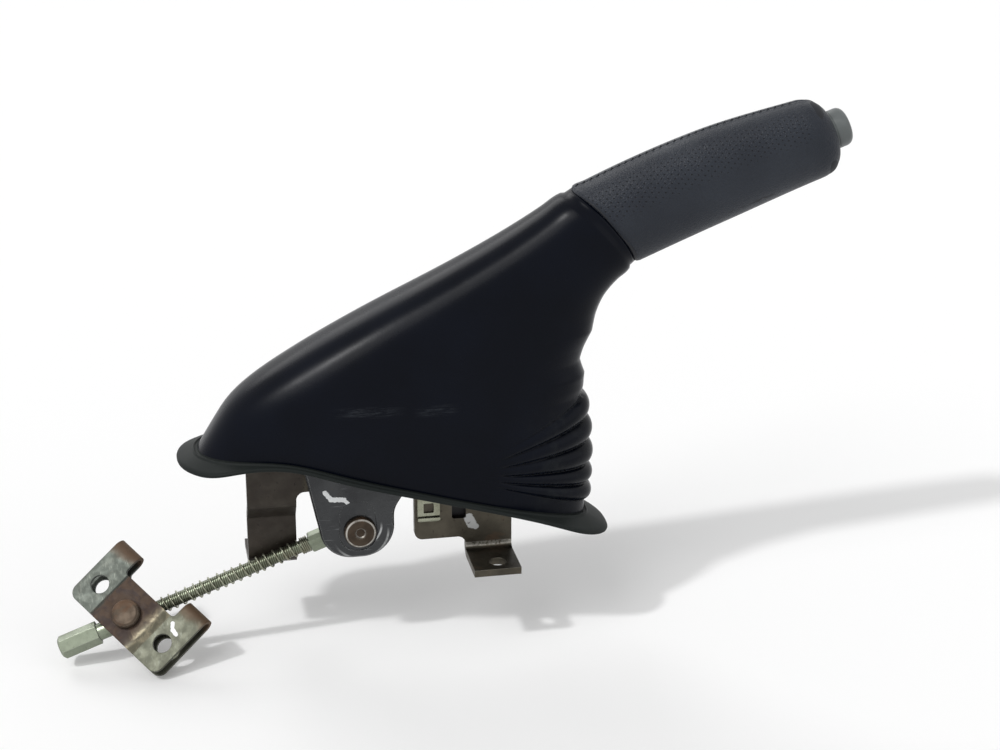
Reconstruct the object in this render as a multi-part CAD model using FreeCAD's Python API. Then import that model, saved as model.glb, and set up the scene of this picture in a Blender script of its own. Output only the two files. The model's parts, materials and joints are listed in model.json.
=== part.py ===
import FreeCAD, Part
import math
import os

# Hand brake lever of a car, with its floor bracket, ratchet, rubber boot, pull rod and cable equaliser.
# Frame in millimetres: +X towards the grip, +Z up, Y = 0 is the lever's middle plane.
# The origin is the middle of the two bolt holes, on the underside of the bracket's feet.

V = FreeCAD.Vector

# Clearances
running_gap = 0.05
soft_gap = 0.3
side_gap = 0.1

# Facets of wires and coils
wire_sides = 7
coil_steps = 13
arc_steps = 6

# Floor bracket
bracket_sheet = 3.5
bend_radius = 2.5
foot_hole_x = 52.8
foot_hole_y = 18.5
foot_hole_radius = 4.3
foot_reach = 27.0
strap_rear_x = -65.8
strap_front_x = -42.3
strap_joggle = 6.6
crease_height = 36.5
joggle_drop = 8.0
arch_height = 40.5
tab_rear_x = 14.8
tab_bottom = 10.7
foot_rear_x = 40.0
plate_front_x = 63.0
shoulder_along = 44.0
heel_along = -5.0
bracket_top_gap = 2.0
bracket_nose_drop = 14.0
bracket_brow = (36.0, 2.0)
bracket_crown = (34.0, 20.0)
bracket_corner = 4.0
bracket_round = 10.0
bracket_sweep = 13.0
window_size = (7.0, 10.0)
window_middle = (36.8, 25.5)

# Lever pivot and lever pressing
pivot_x = -12.0
pivot_z = 59.5
pivot_radius = 5.0
pivot_head_radius = 8.5
pivot_head_thickness = 3.0
circlip_thickness = 1.2
bush_radius = 8.0
lever_sheet = 3.0
lever_inner_half = 8.5
root_half_height = 20.0
neck_half_height = 12.0
web_start = 10.0
bend_x = 88.0
ear_bottom = 8.4
ear_rear_x = -29.5
ear_front_x = 3.6
ear_round = 15.5
ear_edge_bevel = 0.9
ear_recess = 0.8
recess_low = (-10.8, 9.4, -9.7, 8.9)
recess_high = (-9.2, 6.6, 15.8, 6.8)
throat_rise = 10.5
throat_along = 38.0
throat_round = 30.0
heel_round = 12.0
lever_sweep = 90.0
striker_reach = (5.0, 3.0)
striker_thickness = 3.0
striker_gap = 0.3

# Clevis pin
clevis_x = -13.0
clevis_z = 21.7
clevis_radius = 4.0
clevis_head_radius = 7.8
clevis_head_thickness = 2.8

# Ratchet and pawl
sector_sheet = 4.0
sector_tip_radius = 42.0
tooth_depth = 2.6
sector_band = 18.0
sector_start_deg = 22.0
sector_end_deg = 62.0
tooth_count = 11
tooth_pitch_deg = 2.6
first_tooth_deg = 31.0
sector_rivet_radius = 2.5
sector_rivet_inset_deg = 6.0
rivet_head_rise = 1.0
pawl_thickness = 3.3
pawl_pin_radius = 3.0
pawl_reach = 17.6
pawl_tail = 15.0
pawl_stand = 14.0
pawl_up = -6.5
pawl_boss_radius = 6.5
pawl_offset = 0.5
tail_half_width = 3.8
slot_drop = 3.2
tooth_clearance = 0.3
tooth_undercut = 0.12

# Grip
grip_angle_deg = 20.0
grip_end_x = 217.6
grip_end_z = 205.4
grip_rear_height = 45.5
grip_front_height = 39.5
grip_rear_width = 36.0
grip_front_width = 32.0
grip_length = 118.0
grip_round = 8.5
grip_slant = 0.345
grip_rear_bulge = 4.0
grip_corner_share = 0.86
leather_thickness = 1.5

# Push button and release rod
button_radius = 9.4
button_gap = 0.3
button_height = 8.5
button_skirt = 6.0
button_wall = 1.9
button_travel = 6.0
button_stop_gap = 1.0
partition_thickness = 4.0
release_radius = 2.0
release_bend_radius = 2.4
button_spring_wire = 0.9

# Pull rod, adjuster and equaliser
rod_angle_deg = 20.4
eye_thickness = 5.0
eye_radius = 8.5
blade_height = 8.8
blade_length = 25.0
blade_overlap = 8.0
rod_radius = 3.0
rod_length = 151.0
spring_wire_radius = 0.42
spring_mean_radius = 3.72
spring_close_turns = 4
spring_open_turns = 20
trunnion_distance = 118.5
trunnion_radius = 5.5
trunnion_head_radius = 7.0
trunnion_head_thickness = 3.2
trunnion_roll_deg = 45.0
washer_thickness = 1.0
collar_radius = 5.2
collar_length = 2.6
nut_neck_radius = 4.2
nut_neck_length = 7.2
nut_flats = 10.0
nut_hex_length = 19.7
equaliser_sheet = 1.6
equaliser_half_length = 31.0
equaliser_rear = 11.5
equaliser_front = 25.0
equaliser_middle_front = 14.0
wing_face = 4.5
middle_raise = 2.7
middle_half_width = 12.5
middle_slope = 2.6
notch_half_width = 17.2
cable_hole_radius = 4.6
cable_hole_spread = 22.3
equaliser_tilt_deg = 25.0

# Rubber boot
boot_wall = 2.0
flange_width = 11.0
flange_thickness = 2.6
boot_rear_x = -88.0
boot_front_x = 100.0
boot_base_rear_z = 66.0
boot_base_slope = 0.303
boot_level_end_x = -50.0
boot_level_blend = 22.0
boot_half_width = 30.0
boot_line_shares = (0.20, 0.40, 0.55, 0.70, 0.85)
boot_rear_line = ((-81.0, 88.0), (-58.0, 105.0), (-15.0, 126.0), (25.0, 145.5), (62.0, 165.0))
boot_front_line = ((101.0, 44.0), (100.0, 72.0), (97.0, 96.0), (100.0, 114.0), (107.0, 132.0))
boot_widths = (31.0, 30.0, 27.5, 24.5, 21.0)
pleat_root = (50.0, 56.5)
pleat_pitch_deg = 14.1
pleat_phase_deg = 7.8
pleat_depth = 2.7
pleat_growth = 38.0
pleat_top_deg = 29.0
pleat_low_deg = -40.0
pleat_share = 0.46
pleat_rings = 25
plain_rings = 9
front_turns = 26
rear_turns = 14
inner_pleat_part = 0.6

# Parking brake switch
switch_width = 6.15
switch_rear_x = 8.0
switch_front_x = 42.0
switch_bottom = 17.0
switch_shoulder = 35.6
switch_top = 47.5
plunger_radius = 1.2
plunger_x = 12.0
plunger_y = 6.7
plunger_length = 4.0
plunger_travel = 2.0
clip_sheet = 1.0
clip_size = (11.0, 12.5)
clip_low = 20.5
clip_inset = 1.4
terminal_size = (9.0, 0.8, 6.3)
terminal_low = 38.0


def unit(angle_deg):
    """Direction in the lever's plane, measured up from +X."""
    angle = math.radians(angle_deg)
    return V(math.cos(angle), 0, math.sin(angle))


pivot = V(pivot_x, 0, pivot_z)
clevis = V(clevis_x, 0, clevis_z)
grip_end = V(grip_end_x, 0, grip_end_z)
grip_along = unit(grip_angle_deg)
grip_up = unit(grip_angle_deg + 90)
lever_bend = grip_end + grip_along * ((bend_x - grip_end_x) / grip_along.x)
arm_angle_deg = math.degrees(math.atan2(lever_bend.z - pivot_z, lever_bend.x - pivot_x))
arm_along = unit(arm_angle_deg)
arm_up = unit(arm_angle_deg + 90)
rod_along = unit(180 + rod_angle_deg)
rod_up = unit(90 + rod_angle_deg)
side = V(0, 1, 0)
sector_root_radius = sector_tip_radius - tooth_depth
sector_inner_radius = sector_tip_radius - sector_band
sector_rivet_circle = (sector_root_radius + sector_inner_radius) / 2
pawl_along = sector_tip_radius + pawl_stand
lever_outer_half = lever_inner_half + lever_sheet
bracket_face = bracket_sheet / 2
partition_top = -(button_skirt + button_travel + button_stop_gap)
switch_inner_y = bracket_face + side_gap
switch_outer_y = switch_inner_y + switch_width
roll = math.radians(trunnion_roll_deg)
trunnion_axis = rod_up * math.sin(roll) - side * math.cos(roll)
trunnion_across = trunnion_axis.cross(rod_along)
trunnion_middle = clevis + rod_along * trunnion_distance


def arm_point(along, up):
    """Place measured from the lever pivot along the arm and square to it."""
    return pivot + arm_along * along + arm_up * up


def grip_point(along, up):
    """Place measured from the grip's front end along the grip and square to it."""
    return grip_end + grip_along * along + grip_up * up


def rounded_wire(corners):
    """Closed wire through corners (point, radius), each corner rounded by a tangent arc."""
    count = len(corners)
    starts = []
    for index, (point, radius) in enumerate(corners):
        to_last = (corners[index - 1][0] - point).normalize()
        to_next = (corners[(index + 1) % count][0] - point).normalize()
        half = to_last.getAngle(to_next) / 2
        reach = radius / math.tan(half)
        middle = (to_last + to_next).normalize() * (radius / math.sin(half) - radius)
        starts.append((point + to_last * reach, point + middle, point + to_next * reach, radius))
    edges = []
    for index, (first, middle, last, radius) in enumerate(starts):
        if radius > 0:
            edges.append(Part.Arc(first, middle, last).toShape())
        following = starts[(index + 1) % count][0]
        if (following - last).Length > 1e-6:
            edges.append(Part.LineSegment(last, following).toShape())
    return Part.Wire(edges)


def plate(corners, y_low, y_high):
    """Sheet piece: an outline of (x, z, radius) corners between two Y planes."""
    wire = rounded_wire([(V(x, y_low, z), radius) for x, z, radius in corners])
    return Part.Face(wire).extrude(V(0, y_high - y_low, 0))


def strip(path, thickness, x_low, x_high):
    """Bent strip: a path of (y, z) points, given its thickness, between two X planes."""
    points = [V(x_low, y, z) for y, z in path]
    half = thickness / 2
    sides = []
    for sign in (1, -1):
        row = []
        for index, point in enumerate(points):
            before = point - points[max(index - 1, 0)]
            after = points[min(index + 1, len(points) - 1)] - point
            if before.Length == 0:
                before = after
            if after.Length == 0:
                after = before
            before.normalize()
            after.normalize()
            normal = V(0, -before.z - after.z, before.y + after.y).normalize()
            stretch = 1 / math.cos(before.getAngle(after) / 2)
            turn = before.y * after.z - before.z * after.y
            radius = 0
            if abs(turn) > 1e-9:
                radius = bend_radius + (thickness if turn * sign < 0 else 0)
            row.append((point + normal * (sign * half * stretch), radius))
        sides.append(row)
    wire = rounded_wire(sides[0] + sides[1][::-1])
    return Part.Face(wire).extrude(V(x_high - x_low, 0, 0))


def rod(radius, start, direction, length):
    """Round bar from a start point along a direction."""
    return Part.makeCylinder(radius, length, start, direction)


def turned(profile, start, direction):
    """Turned piece: (distance, radius) corners revolved about an axis through start."""
    across = side if abs(direction.dot(side)) < 0.5 else V(1, 0, 0)
    outward = direction.cross(across).normalize()
    points = [start + direction * distance + outward * radius for distance, radius in profile]
    first = start + direction * profile[0][0]
    last = start + direction * profile[-1][0]
    clean = [first]
    for point in points + [last]:
        if (point - clean[-1]).Length > 1e-6:
            clean.append(point)
    wire = Part.makePolygon(clean + [clean[0]])
    return Part.Face(wire).revolve(start, direction, 360)


def place(shape, origin, x_axis, y_axis, z_axis):
    """Move a shape drawn in its own axes into the frame."""
    matrix = FreeCAD.Matrix(
        x_axis.x, y_axis.x, z_axis.x, origin.x,
        x_axis.y, y_axis.y, z_axis.y, origin.y,
        x_axis.z, y_axis.z, z_axis.z, origin.z,
        0, 0, 0, 1)
    moved = shape.copy()
    moved.Placement = FreeCAD.Placement(matrix)
    return moved


def faceted(rows, closed):
    """Solid skinned with flat facets over rings of points, closed on itself or capped at both ends."""
    count = len(rows[0])
    points = [point for row in rows for point in row]
    facets = []
    for index in range(len(rows) if closed else len(rows) - 1):
        following = (index + 1) % len(rows)
        for step in range(count):
            corner = index * count + step
            beside = index * count + (step + 1) % count
            below = following * count + step
            across = following * count + (step + 1) % count
            facets.append((corner, below, across))
            facets.append((corner, across, beside))
    if not closed:
        last = (len(rows) - 1) * count
        for step in range(1, count - 1):
            facets.append((0, step, step + 1))
            facets.append((last, last + step + 1, last + step))
    skin = Part.Shape()
    skin.makeShapeFromMesh((points, facets), 0.001)
    solid = Part.Solid(skin.Shells[0])
    if solid.Volume < 0:
        solid.reverse()
    return solid


def wire_along(path, radius):
    """Round wire, as a many-sided tube, along a path of points."""
    outward = V(0.3, 0.5, 0.81)
    rows = []
    for index, point in enumerate(path):
        run = (path[min(index + 1, len(path) - 1)] - path[max(index - 1, 0)]).normalize()
        outward = (outward - run * outward.dot(run)).normalize()
        across = run.cross(outward)
        row = []
        for step in range(wire_sides):
            angle = 2 * math.pi * step / wire_sides
            row.append(point + (outward * math.cos(angle) + across * math.sin(angle)) * radius)
        rows.append(row)
    return faceted(rows, False)


def arc_points(first, middle, last):
    """Points along the arc through three points, a few degrees apart."""
    curve = Part.Arc(first, middle, last)
    return curve.discretize(Number=arc_steps)


def coil(wire_radius, mean_radius, pitches, start, direction):
    """Coil spring: a round wire along a helix whose turns have the given pitches."""
    across = direction.cross(side).normalize()
    beside = direction.cross(across)
    path = []
    height = 0.0
    for pitch in pitches:
        for step in range(coil_steps):
            angle = 2 * math.pi * step / coil_steps
            outward = across * math.cos(angle) + beside * math.sin(angle)
            path.append(start + direction * height + outward * mean_radius)
            height += pitch / coil_steps
    return wire_along(path, wire_radius)


def base_bracket():
    """Floor bracket: one pressed plate with a joggled rear strap and a bent front foot."""
    half = bracket_face
    foot_bend_top = bracket_sheet + bend_radius
    top_up = root_half_height - lever_sheet - bracket_top_gap
    shoulder = arm_point(shoulder_along, top_up)
    heel = arm_point(heel_along, top_up)
    web = plate([
        (strap_rear_x, crease_height, 0),
        (strap_front_x, crease_height, 0),
        (strap_front_x, arch_height, bracket_corner),
        (tab_rear_x, arch_height, bracket_corner),
        (tab_rear_x, tab_bottom, bracket_corner),
        (foot_rear_x, tab_bottom, bracket_corner),
        (foot_rear_x, foot_bend_top, 0),
        (plate_front_x, foot_bend_top, 0),
        (plate_front_x, pivot_z - bracket_nose_drop, bracket_sweep),
        (pivot_x + bracket_brow[0], pivot_z + bracket_brow[1], bracket_round),
        (pivot_x + bracket_crown[0], pivot_z + bracket_crown[1], bracket_sweep),
        (shoulder.x, shoulder.z, bracket_round),
        (heel.x, heel.z, bracket_sweep),
        (strap_rear_x, boot_base_rear_z, bracket_round)],
        -half, half)
    strap = strip([
        (0, crease_height + half),
        (0, crease_height - half),
        (strap_joggle, crease_height - half - joggle_drop),
        (strap_joggle, half),
        (strap_joggle + foot_reach - half, half)],
        bracket_sheet, strap_rear_x, strap_front_x)
    foot = strip([
        (0, foot_bend_top + half),
        (0, half),
        (-foot_reach, half)],
        bracket_sheet, foot_rear_x, plate_front_x)
    body = web.fuse([strap, foot]).removeSplitter()
    tools = [rod(bush_radius, pivot - side * bracket_sheet, side, 2 * bracket_sheet)]
    for sign in (1, -1):
        middle = V(sign * foot_hole_x, -sign * foot_hole_y, -bracket_sheet)
        tools.append(rod(foot_hole_radius, middle, V(0, 0, 1), 3 * bracket_sheet))
    width, height = window_size
    low_x = window_middle[0] - width / 2
    low_z = window_middle[1] - height / 2
    tools.append(plate([
        (low_x, low_z, 1), (low_x + width, low_z, 1),
        (low_x + width, low_z + height, 1), (low_x, low_z + height, 1)],
        -bracket_sheet, bracket_sheet))
    for angle in sector_rivet_angles():
        middle = pivot + unit(angle) * sector_rivet_circle
        tools.append(rod(sector_rivet_radius, middle - side * bracket_sheet, side, 2 * bracket_sheet))
    return body.cut(tools)


def sector_rivet_angles():
    """The sector's three rivets, evenly spread over its arc."""
    first = sector_start_deg + sector_rivet_inset_deg
    last = sector_end_deg - sector_rivet_inset_deg
    return [first, (first + last) / 2, last]


def ratchet_sector():
    """Toothed sector riveted to the bracket, its saw teeth cut in the outer arc."""
    low_y = bracket_face
    edges = []
    start = sector_start_deg
    end = sector_end_deg

    def at(radius, angle):
        return pivot + unit(angle) * radius + side * low_y

    def arc(radius, first, last):
        middle = (first + last) / 2
        return Part.Arc(at(radius, first), at(radius, middle), at(radius, last)).toShape()

    def line(first, last):
        return Part.LineSegment(first, last).toShape()

    edges.append(line(at(sector_inner_radius, start), at(sector_tip_radius, start)))
    edges.append(arc(sector_tip_radius, start, first_tooth_deg))
    for index in range(tooth_count):
        angle = first_tooth_deg + index * tooth_pitch_deg
        root = at(sector_root_radius, angle + tooth_pitch_deg * tooth_undercut)
        tip = at(sector_tip_radius, angle + tooth_pitch_deg)
        edges.append(line(at(sector_tip_radius, angle), root))
        edges.append(line(root, tip))
    last_tooth = first_tooth_deg + tooth_count * tooth_pitch_deg
    edges.append(arc(sector_tip_radius, last_tooth, end))
    edges.append(line(at(sector_tip_radius, end), at(sector_inner_radius, end)))
    edges.append(arc(sector_inner_radius, end, start))
    body = Part.Face(Part.Wire(edges)).extrude(side * sector_sheet)
    for angle in sector_rivet_angles():
        middle = pivot + unit(angle) * sector_rivet_circle
        body = body.cut(rod(sector_rivet_radius, middle, side, low_y + sector_sheet))
    return body


def sector_rivets():
    """Three rivets through the sector and the bracket plate, as separate solids."""
    rivets = []
    low = -bracket_face
    high = bracket_face + sector_sheet
    head = sector_rivet_radius * 1.6
    rise = rivet_head_rise
    for angle in sector_rivet_angles():
        middle = pivot + unit(angle) * sector_rivet_circle
        profile = [
            (low - rise, head * 0.6), (low - rise / 2, head * 0.92), (low, head),
            (low, sector_rivet_radius), (high, sector_rivet_radius),
            (high, head), (high + rise / 2, head * 0.92), (high + rise, head * 0.6)]
        rivets.append(turned(profile, middle, side))
    return Part.makeCompound(rivets)


def pivot_bush():
    """Bush pressed in the bracket, which spaces the lever's two side plates."""
    length = 2 * (lever_inner_half - side_gap)
    start = pivot - side * (length / 2)
    return rod(bush_radius, start, side, length).cut(rod(pivot_radius, start, side, length))


def pivot_pin():
    """Headed pivot pin with a groove for its circlip."""
    face = lever_outer_half + side_gap
    groove = face + side_gap
    end = groove + circlip_thickness + 2.0
    neck = pivot_radius - 0.8
    profile = [
        (-face - pivot_head_thickness, pivot_head_radius - 1.2),
        (-face - pivot_head_thickness + 1.0, pivot_head_radius),
        (-face, pivot_head_radius), (-face, pivot_radius),
        (groove, pivot_radius), (groove, neck),
        (groove + circlip_thickness, neck), (groove + circlip_thickness, pivot_radius),
        (end - 0.6, pivot_radius), (end, pivot_radius - 0.6)]
    return turned(profile, pivot, side)


def pivot_circlip():
    """Open spring ring in the pivot pin's groove."""
    start = pivot + side * (lever_outer_half + 2 * side_gap)
    ring = rod(pivot_radius + 2.4, start, side, circlip_thickness)
    ring = ring.cut(rod(pivot_radius - 0.8, start, side, circlip_thickness))
    mouth = Part.makeBox(4.5, circlip_thickness, 12, start - V(2.25, 0, 12))
    return ring.cut(mouth)


def lever_channel():
    """Lever pressing: an inverted U with two clevis ears below its pivot."""
    up_bisector = (arm_up + grip_up).normalize()
    stretch = 1 / math.cos(math.radians((arm_angle_deg - grip_angle_deg) / 2))
    top_bend = lever_bend + up_bisector * (neck_half_height * stretch)
    low_bend = lever_bend - up_bisector * (neck_half_height * stretch)
    tip_along = partition_top - partition_thickness
    outline = [
        (V(ear_rear_x, 0, ear_bottom), ear_round),
        (V(ear_front_x, 0, ear_bottom), ear_round),
        (V(ear_front_x, 0, clevis_z + throat_rise), heel_round),
        (arm_point(throat_along, -root_half_height), throat_round),
        (low_bend, lever_sweep - throat_round),
        (grip_point(tip_along, -neck_half_height), lever_sheet),
        (grip_point(tip_along, neck_half_height), 2 * lever_sheet),
        (top_bend, lever_sweep),
        (arm_point(-pivot_head_radius, root_half_height), throat_round / 2),
        (V(ear_rear_x - throat_rise, 0, pivot_z), heel_round)]
    wire = rounded_wire([(point - side * lever_outer_half, radius) for point, radius in outline])
    body = Part.Face(wire).extrude(side * (2 * lever_outer_half))
    rim = [edge for edge in body.Edges if edge_on_side(edge, lever_outer_half)]
    body = body.makeChamfer(ear_edge_bevel, rim)
    inner_bend = top_bend - up_bisector * (lever_sheet * stretch)
    tip_inner = grip_point(0, neck_half_height - lever_sheet)
    crown = arm_point(web_start, 2 * root_half_height)
    rear_x = crown.x - 4 * root_half_height
    cavity = [
        (crown, 0),
        (arm_point(web_start, root_half_height - lever_sheet), 0),
        (inner_bend, lever_sweep - lever_sheet),
        (tip_inner, 0),
        (V(tip_inner.x, 0, -ear_bottom), 0),
        (V(rear_x, 0, -ear_bottom), 0),
        (V(rear_x, 0, crown.z), 0)]
    hollow = rounded_wire([(point - side * lever_inner_half, radius) for point, radius in cavity])
    body = body.cut(Part.Face(hollow).extrude(side * (2 * lever_inner_half)))
    for sign in (1, -1):
        low_y, high_y = sorted((sign * (lever_outer_half - ear_recess), sign * (lever_outer_half + ear_recess)))
        low_rear, low_front, low_z, low_round = recess_low
        high_rear, high_front, high_z, high_round = recess_high
        body = body.cut(plate([
            (clevis_x + low_rear, clevis_z + low_z, low_round),
            (clevis_x + low_front, clevis_z + low_z, low_round),
            (clevis_x + high_front, clevis_z + high_z, high_round),
            (clevis_x + high_rear, clevis_z + high_z, high_round)],
            low_y, high_y))
    across = 4 * lever_outer_half
    bores = [
        rod(pivot_radius + running_gap, pivot - side * (across / 2), side, across),
        rod(clevis_radius, clevis - side * (across / 2), side, across),
        rod(pawl_pin_radius, pawl_middle() - side * (across / 2), side, across)]
    return body.cut(bores).removeSplitter()


def switch_striker():
    """Small block welded inside the lever's side plate, which holds the switch's plunger down."""
    low_z = switch_top + plunger_length + striker_gap
    rear, front = striker_reach
    return plate([
        (plunger_x - rear, low_z, 0), (plunger_x + front, low_z, 0),
        (plunger_x + front, low_z + striker_thickness, striker_thickness / 3),
        (plunger_x - rear, low_z + striker_thickness, striker_thickness / 3)],
        plunger_y - plunger_radius, lever_inner_half)


def edge_on_side(edge, half_width):
    """True for an edge that lies wholly in one of the two side faces."""
    return all(abs(abs(vertex.Y) - half_width) < 1e-6 for vertex in edge.Vertexes) and (
        abs(edge.Vertexes[0].Y - edge.Vertexes[-1].Y) < 1e-6)


def clevis_pin():
    """Clevis rivet: a broad dimpled head on the near ear and a peened tail on the far one."""
    seat = lever_outer_half - ear_recess
    head = clevis_head_radius
    profile = [
        (-seat - clevis_head_thickness + 1.2, 0.8),
        (-seat - clevis_head_thickness + 0.9, 2.0),
        (-seat - clevis_head_thickness, 2.8),
        (-seat - clevis_head_thickness, head - 1.3),
        (-seat - clevis_head_thickness + 0.5, head - 0.4),
        (-seat - clevis_head_thickness + 1.3, head),
        (-seat, head), (-seat, clevis_radius),
        (seat, clevis_radius), (seat, clevis_radius + 2.0),
        (seat + 1.4, clevis_radius + 1.4), (seat + 2.0, clevis_radius)]
    return turned(profile, clevis, side)


def clevis_spacers():
    """Two spacer tubes which keep the rod's eye in the middle of the clevis."""
    spacers = []
    length = lever_inner_half - side_gap - eye_thickness / 2 - side_gap
    for sign in (1, -1):
        low = eye_thickness / 2 + side_gap if sign > 0 else -(lever_inner_half - side_gap)
        start = clevis + side * low
        tube = rod(clevis_radius + 2.2, start, side, length)
        spacers.append(tube.cut(rod(clevis_radius + running_gap, start, side, length)))
    return Part.makeCompound(spacers)


def pawl_middle():
    """Axis of the pawl's pin, on the arm."""
    return arm_point(pawl_along, pawl_up)


def pawl_tip():
    """Point of the pawl, just clear of the plain start of the sector's arc."""
    radius = sector_tip_radius + tooth_clearance
    middle = pawl_middle() - pivot
    span = middle.Length
    cosine = (radius ** 2 + span ** 2 - pawl_reach ** 2) / (2 * radius * span)
    angle = math.atan2(middle.z, middle.x) - math.acos(cosine)
    return pivot + unit(math.degrees(angle)) * radius


def release_hook():
    """Where the release rod's hooked end crosses the pawl's tail."""
    return pawl_middle() + V(0, 0, pawl_tail)


def pawl_pin():
    """Headed pin which carries the pawl between the lever's side plates."""
    head = pawl_pin_radius * 1.6
    outer = lever_outer_half
    profile = [
        (-outer - 1.6, head * 0.7), (-outer - 0.8, head), (-outer, head),
        (-outer, pawl_pin_radius), (outer, pawl_pin_radius),
        (outer, head), (outer + 0.8, head), (outer + 1.6, head * 0.7)]
    return turned(profile, pawl_middle(), side)


def pawl():
    """Pawl: a boss on its pin, a pointed nose at the sector and a slotted tail."""
    middle = pawl_middle()
    tip = pawl_tip()
    low_y = bracket_face + pawl_offset
    boss_radius = pawl_boss_radius
    to_tip = (tip - middle).normalize()
    across = V(-to_tip.z, 0, to_tip.x)
    nose = [
        (middle + across * boss_radius, 0), (middle - across * boss_radius, 0),
        (tip - across * 1.1 - to_tip * 3.0, 0), (tip, 0),
        (tip + across * 3.4 - to_tip * 4.0, 1.5)]
    wire = rounded_wire([(point + side * low_y, radius) for point, radius in nose])
    body = Part.Face(wire).extrude(side * pawl_thickness)
    hook = release_hook()
    tail = [
        (middle + V(boss_radius - 1.0, 0, 0), 0),
        (hook + V(tail_half_width, 0, tail_half_width), tail_half_width - 0.2),
        (hook + V(-tail_half_width, 0, tail_half_width), tail_half_width - 0.2),
        (middle - V(boss_radius - 1.0, 0, 0), 0)]
    wire = rounded_wire([(point + side * low_y, radius) for point, radius in tail])
    body = body.fuse([
        Part.Face(wire).extrude(side * pawl_thickness),
        rod(boss_radius, middle + side * low_y, side, pawl_thickness)])
    half_slot = release_radius + button_gap
    slot = [
        (hook + V(half_slot, 0, half_slot), half_slot - 0.01),
        (hook + V(-half_slot, 0, half_slot), half_slot - 0.01),
        (hook + V(-half_slot, 0, -half_slot - slot_drop), half_slot - 0.01),
        (hook + V(half_slot, 0, -half_slot - slot_drop), half_slot - 0.01)]
    wire = rounded_wire(slot)
    depth = low_y + pawl_thickness
    body = body.cut([
        Part.Face(wire).extrude(side * depth),
        rod(pawl_pin_radius + running_gap, middle, side, depth)])
    return body.removeSplitter()


def grip_section(along, shrink):
    """Rounded cross-section of the grip at a distance from its front end."""
    share = -along / grip_length
    half_height = (grip_front_height + (grip_rear_height - grip_front_height) * share) / 2 - shrink
    half_width = (grip_front_width + (grip_rear_width - grip_front_width) * share) / 2 - shrink
    corner = half_width * grip_corner_share
    spread = [(1, 1), (1, -1), (-1, -1), (-1, 1)]
    corners = [(grip_point(along, up * half_height) + side * (out * half_width), corner) for up, out in spread]
    return rounded_wire(corners)


def grip_form(skin):
    """Tapering grip with a rounded front end, inside a skin of the given thickness."""
    rear = grip_section(-grip_length - 16, skin)
    front = grip_section(-skin, skin)
    body = Part.makeLoft([rear, front], True, True)
    front_edges = [edge for edge in body.Edges if all(
        (vertex.Point - grip_end).dot(grip_along) > -skin - 0.01 for vertex in edge.Vertexes)]
    return body.makeFillet(grip_round - skin, front_edges)


def grip_rear_along(up, out):
    """Slanted rear end of the grip, hollowed by an arc, as a distance from its front end."""
    half = grip_rear_width / 2
    radius = (half ** 2 + grip_rear_bulge ** 2) / (2 * grip_rear_bulge)
    return -grip_length - grip_slant * up + radius - math.sqrt(radius ** 2 - out ** 2)


def grip_rear_tool():
    """Solid that cuts the grip's rear end off along its slanted, bulged face."""
    reach = grip_rear_height
    wide = 0.75 * grip_rear_width
    lean = grip_up - grip_along * grip_slant
    base = grip_point(-grip_length, 0) - lean * reach
    bulge = grip_along * grip_rear_along(0, wide) + grip_along * grip_length
    beyond = grip_along * (grip_length / 2)
    left = base + bulge - side * wide
    right = base + bulge + side * wide
    edges = [
        Part.Arc(left, base, right).toShape(),
        Part.LineSegment(right, right - beyond).toShape(),
        Part.LineSegment(right - beyond, left - beyond).toShape(),
        Part.LineSegment(left - beyond, left).toShape()]
    return Part.Face(Part.Wire(edges)).extrude(lean * (2 * reach))


def grip_core():
    """Plastic core moulded round the lever, with a bore for the button at its front."""
    body = grip_form(leather_thickness).cut(grip_rear_tool())
    tip_along = partition_top - partition_thickness
    pocket_length = grip_length + 60
    start = grip_point(tip_along - pocket_length, 0) - side * lever_outer_half
    corner = start - grip_up * neck_half_height
    pocket = Part.makeBox(pocket_length, 2 * lever_outer_half, 2 * neck_half_height)
    pocket = place(pocket, corner, grip_along, side, grip_up)
    button_bore = rod(button_radius + button_gap, grip_point(partition_top, 0), grip_along, 40)
    guide = rod(release_radius + button_gap, grip_point(-60, 0), grip_along, 80)
    return body.cut([pocket, button_bore, guide])


def grip_leather():
    """Leather cover wrapped round the core, open at the rear and round the button."""
    skin = grip_form(0).cut(grip_form(leather_thickness))
    mouth = rod(button_radius + button_gap, grip_point(-30, 0), grip_along, 60)
    return skin.cut([grip_rear_tool(), mouth])


def push_button():
    """Hollow push button with a domed end."""
    outer = button_radius
    inner = outer - button_wall
    roof = button_height - 4.0
    dome = [
        (-button_skirt, inner), (-button_skirt, outer), (button_height - 4.2, outer)]
    steps = 5
    for step in range(1, steps + 1):
        turn = math.radians(90 * step / steps)
        rise = 4.2 * math.sin(turn)
        dome.append((button_height - 4.2 + rise, outer - 3.6 + 3.6 * math.cos(turn)))
    dome.append((button_height + 0.7, outer * 0.3))
    dome.append((button_height + 0.8, 0))
    hollow = [(-button_skirt, 0), (-button_skirt, inner), (roof, inner), (roof, 0)]
    body = turned([(-button_skirt, 0)] + dome, grip_end, grip_along)
    return body.cut(turned(hollow, grip_end, grip_along))


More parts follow.
